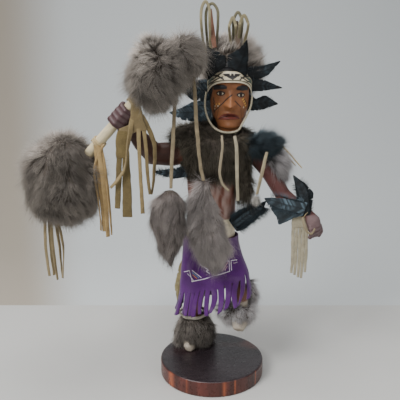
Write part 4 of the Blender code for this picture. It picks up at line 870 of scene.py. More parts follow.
def spikePiece(name, node, slot, roots, tips, width, tones, rng):
    # Each spike is a closed body of four triangles, with a cell of its own in
    # one square map. tones has a colour for each of its four corners.
    count = len(roots)
    along = unit(tips - roots)
    side = unit(np.cross(along, unit(rng.normal(size=(count, 3)))))
    back = np.cross(along, side)
    width = np.broadcast_to(width, (count,))[:, None]
    rows = [roots + (side * math.cos(turn) + back * math.sin(turn)) * width for turn in ringOf(3)]
    spikes = np.stack(rows + [tips], axis=1).reshape(-1, 3)
    faces = [(np.arange(count)[:, None, None] * 4 + spikeTurns).reshape(-1, 3)]
    across = math.ceil(math.sqrt(count))
    cell = np.stack((np.arange(count) % across, np.arange(count) // across), -1)[:, None, None]
    uv = ((cell + 0.1 + 0.8 * spikeSpots) / across).reshape(-1, 2)
    placed(name, (spikes, faces, tones.reshape(-1, 3)), "grey_fur", node, slot, uv=uv)


# Kilt

kiltLook = {
    "centre": (-0.0012, 0.0200), "kneeTurn": 44.0, "kneePush": 0.0190, "top": 0.1540, "fringe": 0.0300,
    "waist": (0.0332, 0.0262), "flare": (0.0090, 0.0100), "length": 0.105, "flat": (0.250, 0.105),
    "strips": 38, "share": 0.84, "thick": 0.0013, "suede": "56286a", "paleCover": "78607f",
    "hem": [(0, 0.0640), (30, 0.0760), (50, 0.0850), (75, 0.0920), (100, 0.1040), (130, 0.0900),
            (160, 0.0700), (180, 0.0600), (225, 0.0540), (270, 0.0480), (315, 0.0570), (360, 0.0640)],
}
kiltDesign = [  # colour, width in metres, and a route in the picture's pixels
    ("e6dfe8", 0.0010, [(192.2, 281.4), (205.0, 278.6), (217.0, 275.0), (229.5, 271.1)]),
    ("e6dfe8", 0.0008, [(184.8, 271.7), (190.0, 270.5), (192.6, 281.0)]),
    ("d3cbd8", 0.0007, [(188.0, 273.6), (190.6, 276.0), (194.2, 280.6)]),
    ("e6dfe8", 0.0008, [(192.6, 270.2), (201.6, 277.4)]),
    ("5f86b4", 0.0009, [(192.8, 272.4), (199.4, 277.8)]),
    ("c98348", 0.0009, [(193.2, 274.6), (197.4, 278.4)]),
    ("e6dfe8", 0.0008, [(200.3, 264.2), (208.9, 270.0), (206.0, 270.8), (212.3, 275.4), (218.0, 268.2)]),
    ("8a8650", 0.0010, [(203.6, 264.4), (209.8, 268.8), (212.3, 272.8), (215.6, 267.8)]),
    ("cfa6a8", 0.0013, [(222.4, 270.6), (225.2, 266.0), (227.4, 262.2)]),
    ("cfa6a8", 0.0011, [(224.6, 270.2), (227.0, 266.2)]),
    ("e6dfe8", 0.0008, [(229.2, 270.6), (228.6, 260.6), (226.8, 261.0)]),
    ("e6dfe8", 0.0008, [(231.2, 270.2), (230.6, 260.4), (236.6, 259.6)]),
    ("b9a9b0", 0.0008, [(233.0, 263.0), (236.8, 262.2)]),
    ("b9a9b0", 0.0009, [(236.9, 236.0), (237.6, 242.0), (238.6, 250.0)]),
]


def kiltPoint(degrees, z):
    # A flared oval, pushed out where the raised knee is:
    # push = 19 mm exp(-(turn / 38)^2) eased in below the waist.
    look = kiltLook
    fall = np.clip((look["top"] - z) / look["length"], 0, None)
    angle = np.radians(degrees)
    turn = (degrees - look["kneeTurn"] + 180) % 360 - 180
    push = look["kneePush"] * bump(turn, 38.0) * soft(np.clip((look["top"] - 0.006 - z) / 0.040, 0, 1))
    fold = 0.0009 * np.sin(angle * 9) * np.clip(fall * 1.6, 0, 1)
    wide, deep = (half + flare * fall + push + fold for half, flare in zip(look["waist"], look["flare"]))
    cx, cy = look["centre"]
    return np.stack((cx + wide * np.sin(angle), cy - deep * np.cos(angle), z + baseTop), -1)


def makeKilt():
    # Columns of points round the kilt, several to a strip; the faces between
    # two strips are left out below the slits' tops.
    look = kiltLook
    strips, inStrip = look["strips"], 5
    upper, lower = ((50, 18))
    step = 360 / strips
    share = np.linspace(0, look["share"], inStrip)
    degrees = (np.arange(strips)[:, None] * step + share[None] * step).ravel()
    strip = np.repeat(np.arange(strips), inStrip)
    rng = np.random.default_rng(5)
    ragged = rng.uniform(-0.0022, 0.0016, strips)[strip]
    hemLine = readOff(look["hem"], degrees % 360)
    hem, slit = hemLine + ragged * 0.8, hemLine + look["fringe"] + 0.6 * ragged
    down = np.concatenate((np.linspace(0, 1, upper, endpoint=False), 1 + np.linspace(0, 1, lower)))[:, None]
    z = np.where(down < 1, look["top"] + (slit - look["top"]) * down, slit + (hem - slit) * (down - 1))
    # Each strip leans to one side, bows, tapers and curls out towards its end.
    free = np.clip(down - 1, 0, 1)
    lean = (rng.uniform(-3.2, 3.2, strips) - 4.5)[strip]
    bow = rng.uniform(-2.6, 2.6, strips)[strip]
    taper = np.tile(np.linspace(-0.5, 0.5, inStrip), strips) * step * look["share"]
    around = degrees + free ** 1.4 * lean + np.sin(free * math.pi) * bow - free ** 2 * 0.30 * taper
    points = kiltPoint(np.broadcast_to(around, z.shape).ravel(), z.ravel()).reshape(*z.shape, 3)
    out = unit(points * (1, 1, 0) - np.array((*look["centre"], 0)))
    curl = (rng.uniform(-0.0008, 0.0022, strips) + 0.0020 * (np.arange(strips) % 2))[strip]
    tilt = (rng.uniform(-0.0016, 0.0016, strips)[:, None] * np.linspace(-1, 1, inStrip)).ravel()
    belly = 0.0005 * wobble(points.reshape(-1, 3), 0.014, 41).reshape(z.shape)
    points = (points + out * (free ** 2 * curl + free * tilt + belly)[..., None]).reshape(-1, 3)
    rows, count = z.shape
    index = np.arange(rows * count).reshape(rows, count)
    quads = np.stack((index[:-1], index[1:], np.roll(index[1:], -1, 1), np.roll(index[:-1], -1, 1)), -1)
    between = (np.arange(count) % inStrip == inStrip - 1)[None] & (np.arange(rows - 1) >= upper)[:, None]
    tint = mottled(look["suede"], points, (0.14, 0.02, 42))
    # Pale patches at random are wear; the pale band along the top is painted highlight where light falls
    # below the waist.
    paleCover = eased(wobble(points, 0.010, 43), 0.15, 0.9) * 0.35
    paleCover = paleCover + bump(down - 0.02, 0.22).repeat(count, 1).ravel() * 0.45
    tint = painted(tint, np.clip(paleCover, 0, 1), look["paleCover"])
    piece = placed("kilt_suede", (points, [quads[~between]], tint), "purple_suede", "kilt", "purple_suede")
    wall = piece.modifiers.new("Thickness", "SOLIDIFY")
    wall.thickness = look["thick"]
    wall.offset = 0.0


def paintKilt():
    # The painted lines are thin ribs of paint on the front, placed by where
    # they are seen: each point is the nearest of a fine net over the surface.
    degrees, z = np.meshgrid(np.linspace(-75, 80, 620), np.linspace(0.085, 0.150, 300))
    net = kiltPoint(degrees.ravel(), z.ravel())
    seen = np.stack(seenAt(net), -1)
    centre = np.array((*kiltLook["centre"], 0))
    paintThick = 0.0002
    corners = ((1, -1), (1, 1), (-1, 1), (-1, -1))
    bodies = []
    for code, width, route in kiltDesign:
        route = np.array(route)
        share = np.linspace(0, len(route) - 1, 8 * (len(route) - 1) + 1)
        wanted = np.stack([np.interp(share, np.arange(len(route)), route[:, k]) for k in (0, 1)], -1)
        run = net[((wanted[:, None] - seen[None]) ** 2).sum(-1).argmin(1)]
        out = unit(run * (1, 1, 0) - centre)
        run = run + out * (kiltLook["thick"] / 2 + paintThick)
        across = unit(np.cross(np.gradient(run, axis=0), out))
        rings = np.stack([run + across * width / 2 * u + out * paintThick * v for u, v in corners], 1)
        points, faces = skin(rings)
        bodies.append((points, faces, mottled(code, points, (0.1, 0.002, 44))))
    placed("kilt_paint", joined(bodies), "carved", "kilt", "purple_suede", smooth=False)


makeKilt()
paintKilt()
print("kilt made")

# Feathers

featherColours = {"black": ("0f1214", "2e383e", "08090a"), "pale": ("a89a6c", "c9bf98", "6a5f42")}
feathers = {  # x, y, height, and how far the vane reaches to each side
    "head_feather_1": [
        (0.0350, 0.0050, 0.3425, 0.0110, 0.0080), (0.0447, 0.0080, 0.3475, 0.0080, 0.0075),
        (0.0540, 0.0110, 0.3485, 0.0070, 0.0065), (0.0610, 0.0140, 0.3510, 0.0065, 0.0060),
        (0.0778, 0.0200, 0.3614, 0.0006, 0.0006)],
    "head_feather_2": [
        (0.0350, 0.0060, 0.3310, 0.0090, 0.0080), (0.0450, 0.0080, 0.3350, 0.0070, 0.0075),
        (0.0588, 0.0130, 0.3340, 0.0065, 0.0065), (0.0700, 0.0170, 0.3325, 0.0035, 0.0032),
        (0.0809, 0.0200, 0.3313, 0.0006, 0.0006)],
    "head_feather_3": [
        (0.0380, 0.0050, 0.3160, 0.0100, 0.0110), (0.0490, 0.0100, 0.3120, 0.0060, 0.0070),
        (0.0610, 0.0140, 0.3150, 0.0080, 0.0080), (0.0767, 0.0200, 0.3127, 0.0006, 0.0006)],
    "head_feather_4": [
        (0.0260, -0.0125, 0.3500, 0.0110, 0.0120), (0.0280, -0.0105, 0.3540, 0.0135, 0.0110),
        (0.0320, -0.0065, 0.3620, 0.0170, 0.0070), (0.0350, -0.0045, 0.3720, 0.0070, 0.0040),
        (0.0370, -0.0030, 0.3832, 0.0006, 0.0006)],
    "head_feather_5": [
        (0.0060, -0.0125, 0.3500, 0.0150, 0.0100), (0.0030, -0.0105, 0.3540, 0.0125, 0.0125),
        (0.0000, -0.0065, 0.3620, 0.0095, 0.0140), (-0.0040, -0.0045, 0.3700, 0.0045, 0.0055),
        (-0.0069, -0.0030, 0.3766, 0.0006, 0.0006)],
    "head_feather_6": [
        (-0.0020, 0.0060, 0.3290, 0.0130, 0.0120), (-0.0148, 0.0080, 0.3290, 0.0125, 0.0120),
        (-0.0229, 0.0120, 0.3290, 0.0115, 0.0104), (-0.0320, 0.0150, 0.3310, 0.0055, 0.0045),
        (-0.0405, 0.0170, 0.3333, 0.0006, 0.0006)],
    "head_feather_7": [
        (-0.0020, 0.0060, 0.3060, 0.0120, 0.0120), (-0.0148, 0.0090, 0.3050, 0.0120, 0.0120),
        (-0.0240, 0.0120, 0.3037, 0.0110, 0.0115), (-0.0350, 0.0150, 0.3030, 0.0090, 0.0060),
        (-0.0507, 0.0180, 0.3027, 0.0006, 0.0006)],
    "wrist_feather_lower": [
        (0.1072, -0.0150, 0.1936, 0.0080, 0.0080), (0.0972, -0.0152, 0.1967, 0.0150, 0.0090),
        (0.0850, -0.0152, 0.1994, 0.0270, 0.0070), (0.0805, -0.0150, 0.2008, 0.0190, 0.0060),
        (0.0687, -0.0145, 0.2044, 0.0090, 0.0035), (0.0598, -0.0140, 0.2065, 0.0006, 0.0006)],
    "wrist_feather_upper": [
        (0.1100, -0.0132, 0.1860, 0.0070, 0.0040), (0.1073, -0.0131, 0.1970, 0.0090, 0.0085),
        (0.1060, -0.0105, 0.2096, 0.0090, 0.0115), (0.1026, -0.0070, 0.2187, 0.0065, 0.0070),
        (0.0942, -0.0020, 0.2315, 0.0006, 0.0006)],
    "hip_feather": [
        (0.0240, 0.0000, 0.1700, 0.0080, 0.0090), (0.0298, -0.0010, 0.1740, 0.0105, 0.0120),
        (0.0380, -0.0010, 0.1810, 0.0105, 0.0125), (0.0473, 0.0000, 0.1865, 0.0080, 0.0105),
        (0.0568, 0.0020, 0.1930, 0.0042, 0.0058), (0.0641, 0.0050, 0.1990, 0.0006, 0.0006)],
    "arm_feather_right": [
        (-0.0300, 0.0020, 0.2360, 0.0070, 0.0065), (-0.0450, -0.0040, 0.2345, 0.0070, 0.0055),
        (-0.0580, -0.0060, 0.2355, 0.0040, 0.0030), (-0.0700, -0.0070, 0.2370, 0.0006, 0.0006)],
    "back_feather": [
        (-0.0140, 0.0470, 0.1500, 0.0040, 0.0040), (-0.0230, 0.0535, 0.1250, 0.0070, 0.0060),
        (-0.0360, 0.0560, 0.0980, 0.0085, 0.0070), (-0.0430, 0.0565, 0.0700, 0.0070, 0.0060),
        (-0.0450, 0.0560, 0.0500, 0.0006, 0.0006)],
}
# Painted light and shade: the same black feathers are made lighter or darker by how much light each stands to
# catch.
featherPaintedLight = {  # how many times lighter than the plain colours
    "head_feather_4": 0.5, "head_feather_5": 0.5, "head_feather_6": 4.2, "head_feather_7": 10.0,
    "wrist_feather_lower": 4.6, "arm_feather_right": 5.0, "hip_feather": 2.8,
}
barbWidth = 0.00016
plumes = {  # loose barbs at the edges: how many, how long, how far from the quill they start
    "hip_feather": (2600, 0.0135, 0.0040), "wrist_feather_upper": (420, 0.0075, 0.0050),
    "wrist_feather_lower": (420, 0.0085, 0.0065), "head_feather_1": (160, 0.0050, 0.0040),
    "head_feather_3": (160, 0.0050, 0.0050), "head_feather_6": (260, 0.0055, 0.0070),
    "head_feather_7": (260, 0.0060, 0.0060), "arm_feather_right": (260, 0.0060, 0.0030),
}


def makeFeather(name, stations, seed):
    # A vane thin at its edges with the quill as a ridge: half thickness
    # 0.2 mm + 0.45 mm exp(-(distance / 0.7 mm)^2). Its edges are nicked where
    # barbs part, and it is cupped by 10 times the offset squared.
    rows, reach = ((60, 7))
    rng = np.random.default_rng(seed)
    stations = np.array(stations)
    places = np.linspace(0, 1, len(stations))
    share = np.linspace(0, 1, rows)
    run = np.stack([np.interp(share, places, at(stations[:, :3])[:, k]) for k in range(3)], -1)
    run[1:-1] = (run[:-2] + 2 * run[1:-1] + run[2:]) / 4
    along, across, through = framesAlong(run)
    plus, minus = (np.interp(share, places, stations[:, k]) for k in (3, 4))
    length = lengthAlong(run)
    place = np.linspace(-1, 1, 2 * reach + 1)
    offset = np.where(place > 0, plus[:, None] * place, minus[:, None] * place)
    nick = np.ones((rows, 2))
    for k in range(5):
        nick[rng.integers(rows // 6, rows - 4), rng.integers(2)] *= rng.uniform(0.55, 0.85)
    rim = np.where(place[None] > 0, nick[:, :1], nick[:, 1:])
    offset = offset * (1 + (rim - 1) * np.abs(place) ** 3)
    offset = offset * (1 + 0.015 * rng.standard_normal((rows, 1)) * np.abs(place) ** 2)
    flat = np.stack((offset.ravel(), np.repeat(length, len(place)), np.zeros(offset.size)), -1)
    cup = 10 * offset ** 2 + 0.00025 * wobble(flat, 0.003, seed).reshape(offset.shape)
    half = 0.0002 + 0.00045 * bump(offset, 0.0007) * (1 - 0.6 * share)[:, None]
    rings = []
    for sign, order in ((1, slice(None)), (-1, slice(None, None, -1))):
        layer = (run[:, None] + across[:, None] * offset[..., None]
                 + through[:, None] * (cup + sign * half)[..., None])
        rings.append(layer[:, order])
    points, faces = skin(np.concatenate(rings, axis=1))
    barb = np.stack((offset * 0.05, length[:, None] - 0.9 * np.abs(offset), np.zeros_like(offset)), -1)
    barb = np.concatenate((barb, barb[:, ::-1]), axis=1).reshape(-1, 3)
    barb = np.concatenate((barb, barb[[0, -1]]))
    base, pale, dark = (ink(code) for code in featherColours["pale" if name == "back_feather" else "black"])
    # Painted sheen: the vane is lighter in streaks along its barbs where they shine.
    shine = np.clip(0.35 + 0.5 * wobble(barb, 0.0016, seed + 1) + 0.25 * wobble(points, 0.01, seed), 0, 1)
    tint = base + (pale - base) * (shine ** 2)[:, None]
    centre = bump(np.concatenate((np.concatenate((offset, offset[:, ::-1]), 1).ravel(), (0, 0))), 0.0006)
    tint = tint + (dark - tint) * (centre * 0.7)[:, None]
    tint = tint * featherPaintedLight.get(name, 1.0)
    slot = "pale_feather" if name == "back_feather" else "black_feather"
    finish = "crisp_feather" if name in ("head_feather_4", "head_feather_5") else slot
    placed(name + "_vane", (points, faces, tint), finish, name, slot, spaces={"barbSpace": barb})
    if name not in plumes:
        return
    # A loose barb leans forward and out from its root beside the quill.
    count, longs, start = plumes[name]
    count = int(count * (1))
    place = rng.uniform(0.05, 0.85, count)
    spot, ahead, aside, up = (np.stack([np.interp(place, share, row[:, k]) for k in range(3)], -1)
                              for row in (run, along, across, through))
    hand = np.where(rng.random(count) < 0.5, 1.0, -1.0)[:, None]
    wide = np.interp(place, share, (plus + minus) / 2)[:, None] * 0.7
    lean = ahead * rng.uniform(0.2, 0.9, (count, 1)) + aside * hand
    lean = unit(lean + up * rng.normal(0, 0.25, (count, 1)))
    roots = spot + aside * hand * np.minimum(start, wide)
    tips = roots + lean * longs * rng.uniform(0.4, 1.1, (count, 1))
    tones = np.stack([base * 1.2] * 3 + [base + (pale - base) * 0.7]) * featherPaintedLight.get(name, 1.0)
    tones = rng.uniform(0.7, 1.3, count)[:, None, None] * tones[None]
    spikePiece(name + "_barbs", name, slot, roots, tips, barbWidth, tones, rng)


for featherSeed, (featherName, featherStations) in enumerate(feathers.items()):
    makeFeather(featherName, featherStations, 60 + featherSeed)
print("feathers made")

# Suede fringes, laces and loops

suedeThick = 0.0015
rightFringe = {  # strips at the raised wrist: tint, twist, widths and route
    "wrap": "9c8a66", "panels": [
        ("7d6d4e", [0.0085, 0.0150, 0.0200], 24,
         [(-0.0840, -0.0370, 0.3180), (-0.0830, -0.0345, 0.2990), (-0.0820, -0.0325, 0.2860)]),
        ("7d6d4e", [0.0090, 0.0110], 14, [(-0.1020, -0.0322, 0.2840), (-0.0860, -0.0326, 0.2900)]),
        ("716240", [0.0120, 0.0150, 0.0148], 20,
         [(-0.0990, -0.0325, 0.2860), (-0.1000, -0.0325, 0.2740), (-0.1002, -0.0325, 0.2560)])],
    "strips": [
        ("6b5d3e", 0.0, [0.0060, 0.0068, 0.0060],
         [(-0.1040, -0.0325, 0.2600), (-0.1055, -0.0325, 0.2300), (-0.1080, -0.0325, 0.1990)]),
        ("6b5d3e", 0.0, [0.0075, 0.0100, 0.0112],
         [(-0.0965, -0.0325, 0.2600), (-0.0965, -0.0325, 0.2250), (-0.0970, -0.0325, 0.1890)]),
        ("8f7d59", 0.5, [0.0055, 0.0050, 0.0046, 0.0030],
         [(-0.0880, -0.0345, 0.3000), (-0.0935, -0.0370, 0.2690), (-0.0990, -0.0375, 0.2430),
          (-0.1140, -0.0370, 0.2235)]),
        ("8f7d59", 0.04, [0.0050, 0.0042, 0.0040, 0.0050],
         [(-0.0820, -0.0330, 0.2960), (-0.0815, -0.0335, 0.2630), (-0.0805, -0.0330, 0.2250),
          (-0.0794, -0.0320, 0.1930)]),
        ("8f7d59", 0.1, [0.0050, 0.0040, 0.0040, 0.0036],
         [(-0.0775, -0.0335, 0.2960), (-0.0745, -0.0300, 0.2690), (-0.0735, -0.0270, 0.2350),
          (-0.0714, -0.0260, 0.2140)]),
        ("8f7d59", 0.2, [0.0055, 0.0055, 0.0050, 0.0046, 0.0036],
         [(-0.0780, -0.0342, 0.3030), (-0.0690, -0.0280, 0.2830), (-0.0655, -0.0230, 0.2660),
          (-0.0669, -0.0220, 0.2344), (-0.0700, -0.0220, 0.2130)])],
}
leftFringe = {
    "tint": "a69d86", "cuffTint": "ac9b78", "ends": [0.1130, 0.1105, 0.1075, 0.1065, 0.1140], "first": 0.0952,
    "pitch": 0.0040, "widths": [0.0038, 0.0040, 0.0041, 0.0030], "cuffRadius": 0.0091,
    "apron": [(0.1031, -0.0100, 0.1850), (0.1031, -0.0102, 0.1705)],
    "cuff": [(0.1040, -0.0018, 0.1912), (0.1085, -0.0036, 0.1876), (0.1115, -0.0050, 0.1852)],
}
staffLaces = {  # where each run hangs, its end's height, and its width
    "wrap": "b09c74", "tint": "a48a5f",
    "runs": [(-0.1262, 0.1700, 0.0056), (-0.1222, 0.1640, 0.0056), (-0.1183, 0.1660, 0.0036),
             (-0.1300, 0.1715, 0.0036)],
}
ballLaces = {  # x at the top, middle and end, the end's height, and how far back
    "knot": "a9966f", "tint": "8c7d5e",
    "runs": [(-0.1960, -0.1975, -0.1950, 0.1110, 0.0), (-0.1925, -0.1925, -0.1905, 0.1105, 0.0040),
             (-0.1890, -0.1885, -0.1855, 0.1065, -0.0010), (-0.1855, -0.1820, -0.1810, 0.1080, 0.0035),
             (-0.1830, -0.1765, -0.1795, 0.1085, -0.0005)],
}
loops = {  # runs: left, right and top of each loop, and how far back it stands
    "lace_loops_right": {
        "foot": (0.0010, 0.0050, 0.3600), "hidden": 0.3860, "hideTint": "84604f",
        "runs": [(-0.0135, -0.0040, 0.4250, 0.0), (-0.0080, 0.0052, 0.4235, 0.0042)],
        "hide": [(0.0020, 0.0120, 0.3760), (-0.0015, 0.0110, 0.3960), (-0.0030, 0.0110, 0.4180)]},
    "lace_loops_left": {
        "foot": (0.0280, 0.0045, 0.3650), "hidden": 0.3930, "hideTint": "6b5c50",
        "runs": [(0.0178, 0.0252, 0.4080, 0.0), (0.0225, 0.0325, 0.4140, 0.0038),
                 (0.0292, 0.0384, 0.4100, -0.0038)],
        "hide": [(0.0290, 0.0120, 0.3740), (0.0275, 0.0110, 0.3920), (0.0265, 0.0105, 0.4050)]},
}
loopTints = ("8d8468", "6f6a55", "837a5e")
quills = {
    "straw_quill_long": [(0.0700, 0.0140, 0.2740), (0.0866, 0.0150, 0.2600), (0.1071, 0.0140, 0.2375)],
    "straw_quill_short": [(0.0700, 0.0170, 0.2690), (0.0840, 0.0175, 0.2570), (0.1000, 0.0170, 0.2400)],
}
ankleTie = {"centre": (-0.0220, 0.0340, 0.0625), "radius": 0.0180, "thick": 0.0012, "high": 0.0021,
            "colour": "b3ab9c"}


def wrap(middle, turns, pitch, radius, thick, tint):
    # A lace wound round the staff: a flat coil whose run turns about its axis.
    turn = np.linspace(0, turns * 2 * math.pi, int(turns * 28))
    way = staffRound(turn)
    run = middle + way * radius + staffAlong * ((turn / (2 * math.pi) - turns / 2) * pitch)[:, None]
    angle = np.arange(8) * math.pi / 4
    rings = (run[:, None] + way[:, None] * (thick * 0.5 * np.cos(angle))[None, :, None]
             + staffAlong * (pitch * 0.52 * np.sin(angle))[None, :, None])
    points, faces = skin(rings)
    return points, faces, mottled(tint, points, (0.15, 0.004, 3))


def knotBody(centre, size, tint, seed=0):
    # A small tied lump: a ball with two crossing grooves.
    fall = np.linspace(0.05, math.pi - 0.05, 14)[:, None]
    turn = ringOf(20)[None]
    way = np.stack((np.sin(fall) * np.cos(turn), np.sin(fall) * np.sin(turn), np.cos(fall) + 0 * turn), -1)
    x, z = way[..., 0], way[..., 2]
    groove = 1 - 0.16 * bump(x - 0.6 * z, 0.22) - 0.14 * bump(x + 0.7 * z, 0.2)
    points, faces = skin(at(centre) + way * (np.asarray(size) * groove[..., None]))
    return points, faces, mottled(tint, points, (0.12, 0.003, seed))


def fringePiece(node, bodies):
    # A bundle of cut strips as one piece.
    piece = placed(node + "_suede", joined(bodies), "cream_suede", node, "tan_suede")


def makeRightFringe():
    # A lace wound on the staff, three flat panels and six strips that hang.
    look = rightFringe
    bodies = [wrap(staffPlace(0.785), 3.6, 0.0034, staffRadius + 0.0013, 0.0024, look["wrap"])]
    for k, (tint, widths, steps, route) in enumerate(look["panels"]):
        bodies.append(ribbon(route, widths, 0.0018, steps, tint, seed=1 + k))
    for k, (tint, twist, widths, route) in enumerate(look["strips"]):
        bodies.append(ribbon(route, widths, suedeThick, 60, tint, seed=4 + k, twist=twist))
    fringePiece("wrist_fringe_right", bodies)


def makeLeftFringe():
    # Five strips below a panel, and a swollen cuff round the wrist above it.
    look = leftFringe
    bodies = []
    for k, low in enumerate(look["ends"]):
        x = look["first"] + look["pitch"] * k
        route = [(x + 0.0002, -0.0101, 0.1800), (x, -0.0099, 0.1600), (x + 0.0006, -0.0085, 0.1350),
                 (x + 0.0002, -0.0070, low)]
        bodies.append(ribbon(route, look["widths"], suedeThick, 50, look["tint"], seed=20 + k))
    bodies.append(ribbon(look["apron"], [0.0190, 0.0205], 0.0020, 14, look["tint"], seed=27))
    rows = 14
    run = smoothRun(at(look["cuff"]), rows)
    across, through = framesAlong(run)[1:]
    swell = look["cuffRadius"] + 0.0004 * np.sin(np.linspace(0, 5 * math.pi, rows))[:, None, None]
    points, faces = skin(tubeAlong(run, across, through, swell, 28))
    bodies.append((points, faces, mottled(look["cuffTint"], points, (0.1, 0.004, 8))))
    fringePiece("wrist_fringe_left", bodies)


def makeStaffLaces():
    # A lace wound on the staff, and four runs that hang from it.
    look = staffLaces
    bodies = [wrap(staffPlace(0.352), 2.6, 0.0028, staffRadius + 0.0012, 0.0022, look["wrap"])]
    for k, (x, low, wide) in enumerate(look["runs"]):
        sway = 0.0016 * (k % 2)
        route = [(-0.1285 + 0.0030 * (k - 1), -0.0235 - sway, 0.2700), (x - 0.0030, -0.0250 - sway, 0.2420),
                 (x, -0.0250 - sway, 0.2050), (x + 0.0016, -0.0245 - sway, low)]
        bodies.append(ribbon(route, [wide * 0.8, wide, wide * 0.9], suedeThick, 56, look["tint"], seed=30 + k,
                             twist=0.12 * k))
    fringePiece("staff_laces", bodies)


def makeBallLaces():
    # Five runs that hang from a knot under the large fur.
    look = ballLaces
    bodies = [knotBody((-0.1890, -0.0110, 0.1860), (0.0080, 0.0064, 0.0080), look["knot"], 5)]
    for k, (top, middle, end, low, back) in enumerate(look["runs"]):
        route = [(top, -0.0120 + back, 0.1860), (middle, -0.0125 + back, 0.1480), (end, -0.0120 + back, low)]
        bodies.append(ribbon(route, [0.0034, 0.0036, 0.0030], suedeThick, 50, look["tint"], seed=40 + k,
                             twist=0.1 * k))
    fringePiece("ball_laces", bodies)


def makeLoops():
    # Each lace goes up from the foot, over at its top and down again. Its
    # lower ends go back into the head's fur, and a strip of hide stands there.
    for node, look in loops.items():
        x, y, z = look["foot"]
        bodies = [knotBody(look["foot"], (0.0060, 0.0052, 0.0055), "8a7c60", 9)]
        for k, (left, right, top, depth) in enumerate(look["runs"]):
            step, away, ease = 0.0014, 0.75, 0.0006
            near, far = x + (left - x) * away, x + (right - x) * away
            middle = (z + top) / 2 + 0.0100
            route = [(x - step, z), (near, z + 0.0180), (left, middle), (left + ease, top - 0.0070),
                     ((left + right) / 2, top), (right - ease, top - 0.0070), (right, middle),
                     (far, z + 0.0180), (x + step, z)]
            route = [(aside, y + depth + 0.016 * max(0.0, min(1.0, (look["hidden"] - high) / 0.012)), high)
                     for aside, high in route]
            bodies.append(ribbon(route, [0.0030, 0.0034, 0.0030], 0.0017, 90, loopTints[k], seed=50 + k,
                                 wave=0.0001))
        bodies.append(ribbon(look["hide"], [0.0050, 0.0062, 0.0030], 0.0010, 30, look["hideTint"], seed=58,
                             twist=0.04))
        placed(node + "_suede", joined(bodies), "cream_suede", node, "cream_suede")


def makeQuills():
    # Two straws that taper to their ends, beside the lowered arm.
    for node, route in quills.items():
        body = ribbon(route, [0.0026, 0.0024, 0.0012], 0.0017, 30, "c8b183")
        placed(node + "_stem", body[:2], "straw", node, "straw")


def makeAnkleTie():
    # A pale strip of hide at the top of the right foot's fur: a ring of radius
    # r (1 + 0.05 sin(3 a + 0.6) + 0.03 sin(7 a)) with an oval section.
    angle, profile = ringOf(90)[:, None], ringOf(10)[None]
    tie = ankleTie
    x, y, z = tie["centre"]
    swell = 1 + 0.05 * np.sin(angle * 3 + 0.6) + 0.03 * np.sin(angle * 7)
    reach = tie["radius"] * swell + tie["thick"] * np.cos(profile)
    height = z + 0.0010 * np.sin(angle * 2) + tie["high"] * np.sin(profile)
    points = np.stack((x + reach * np.sin(angle), y - reach * np.cos(angle), height), -1).reshape(-1, 3)
    index = np.arange(reach.size).reshape(reach.shape)
    after = np.roll(index, -1, 0)
    faces = np.stack((index, after, np.roll(after, -1, 1), np.roll(index, -1, 1)), -1).reshape(-1, 4)
    body = (points, outward(points, [faces]), mottled(tie["colour"], points, (0.15, 0.004, 61)))
    placed("ankle_tie", body, "cream_suede", "ankle_fur_right", "grey_fur")


makeAnkleTie()
makeRightFringe()
makeLeftFringe()
makeStaffLaces()
makeBallLaces()
makeLoops()
makeQuills()
print("suede and quills made")

# Fur and down

furTones = {  # at a strand's root and at its tip
    "grey": ("57504a", "bdb4aa"), "warm": ("2b2821", "7f7768"), "black": ("0c0f11", "4c5960"),
    "white": ("a8a39a", "f0ede6"), "ash": ("4c453f", "b2a99f"),
    "pale": ("665e5a", "d3cac6"), "light": ("8a8381", "f2eded"),
    "dun": ("4f4641", "c2b8b3"),
}
furs = {  # strands, length, how far they lie over, clump size, tones, fall
    "lower_staff_fur": (34000, 0.0150, 0.42, 0.0095, "ash", (0.15, 0, -1)),
    "upper_staff_fur": (28000, 0.0145, 0.40, 0.0090, "grey", (0.25, 0, -0.8)),
    "mantle_fur": (28000, 0.0130, 0.58, 0.0085, "warm", (0, 0, -1)),
    "head_fur": (18000, 0.0130, 0.34, 0.0085, "grey", (0.35, 0.2, 0.5)),
    "arm_fur_left": (6500, 0.0150, 0.55, 0.0065, "light", (0.7, 0, -1)),
    "tail_outer": (15000, 0.0140, 0.74, 0.0080, "dun", (0, 0, -1)),
    "tail_inner": (17000, 0.0145, 0.74, 0.0080, "pale", (0, 0, -1)),
    "ankle_fur_right": (11500, 0.0115, 0.55, 0.0070, "grey", (0, 0, -1)),
    "ankle_fur_left": (10000, 0.0110, 0.50, 0.0065, "light", (0.2, 0, -1)),
    "shoulder_down_left": (9000, 0.0150, 0.55, 0.0055, "black", (0.9, 0, -0.25)),
    "white_down": (900, 0.0040, 0.35, 0.0030, "white", (0, 0, -1)),
}
furLook = {
    "sink": 0.0036, "voxel": 0.0024, "width": 0.00019, "pull": 0.42, "low": 0.0006, "wisps": 0.20,
    "wispLong": 1.6, "sideLight": 0.20, "lumps": 0.0014, "front": 0.001, "back": 0.070, "room": 0.010,
    "spread": 0.18,
    "blackSpread": 0.34, "tuftSink": 0.0012, "tuftVoxel": 0.0010,
}


def nearestOf(points, centres):
    # Which centre each point is nearest to, in blocks that fit in memory.
    found = []
    for block in np.array_split(points, max(1, len(points) // 500)):
        apart = ((block[:, None] - centres[None]) ** 2).sum(-1)
        found.append(apart.argmin(1))
    return np.concatenate(found)


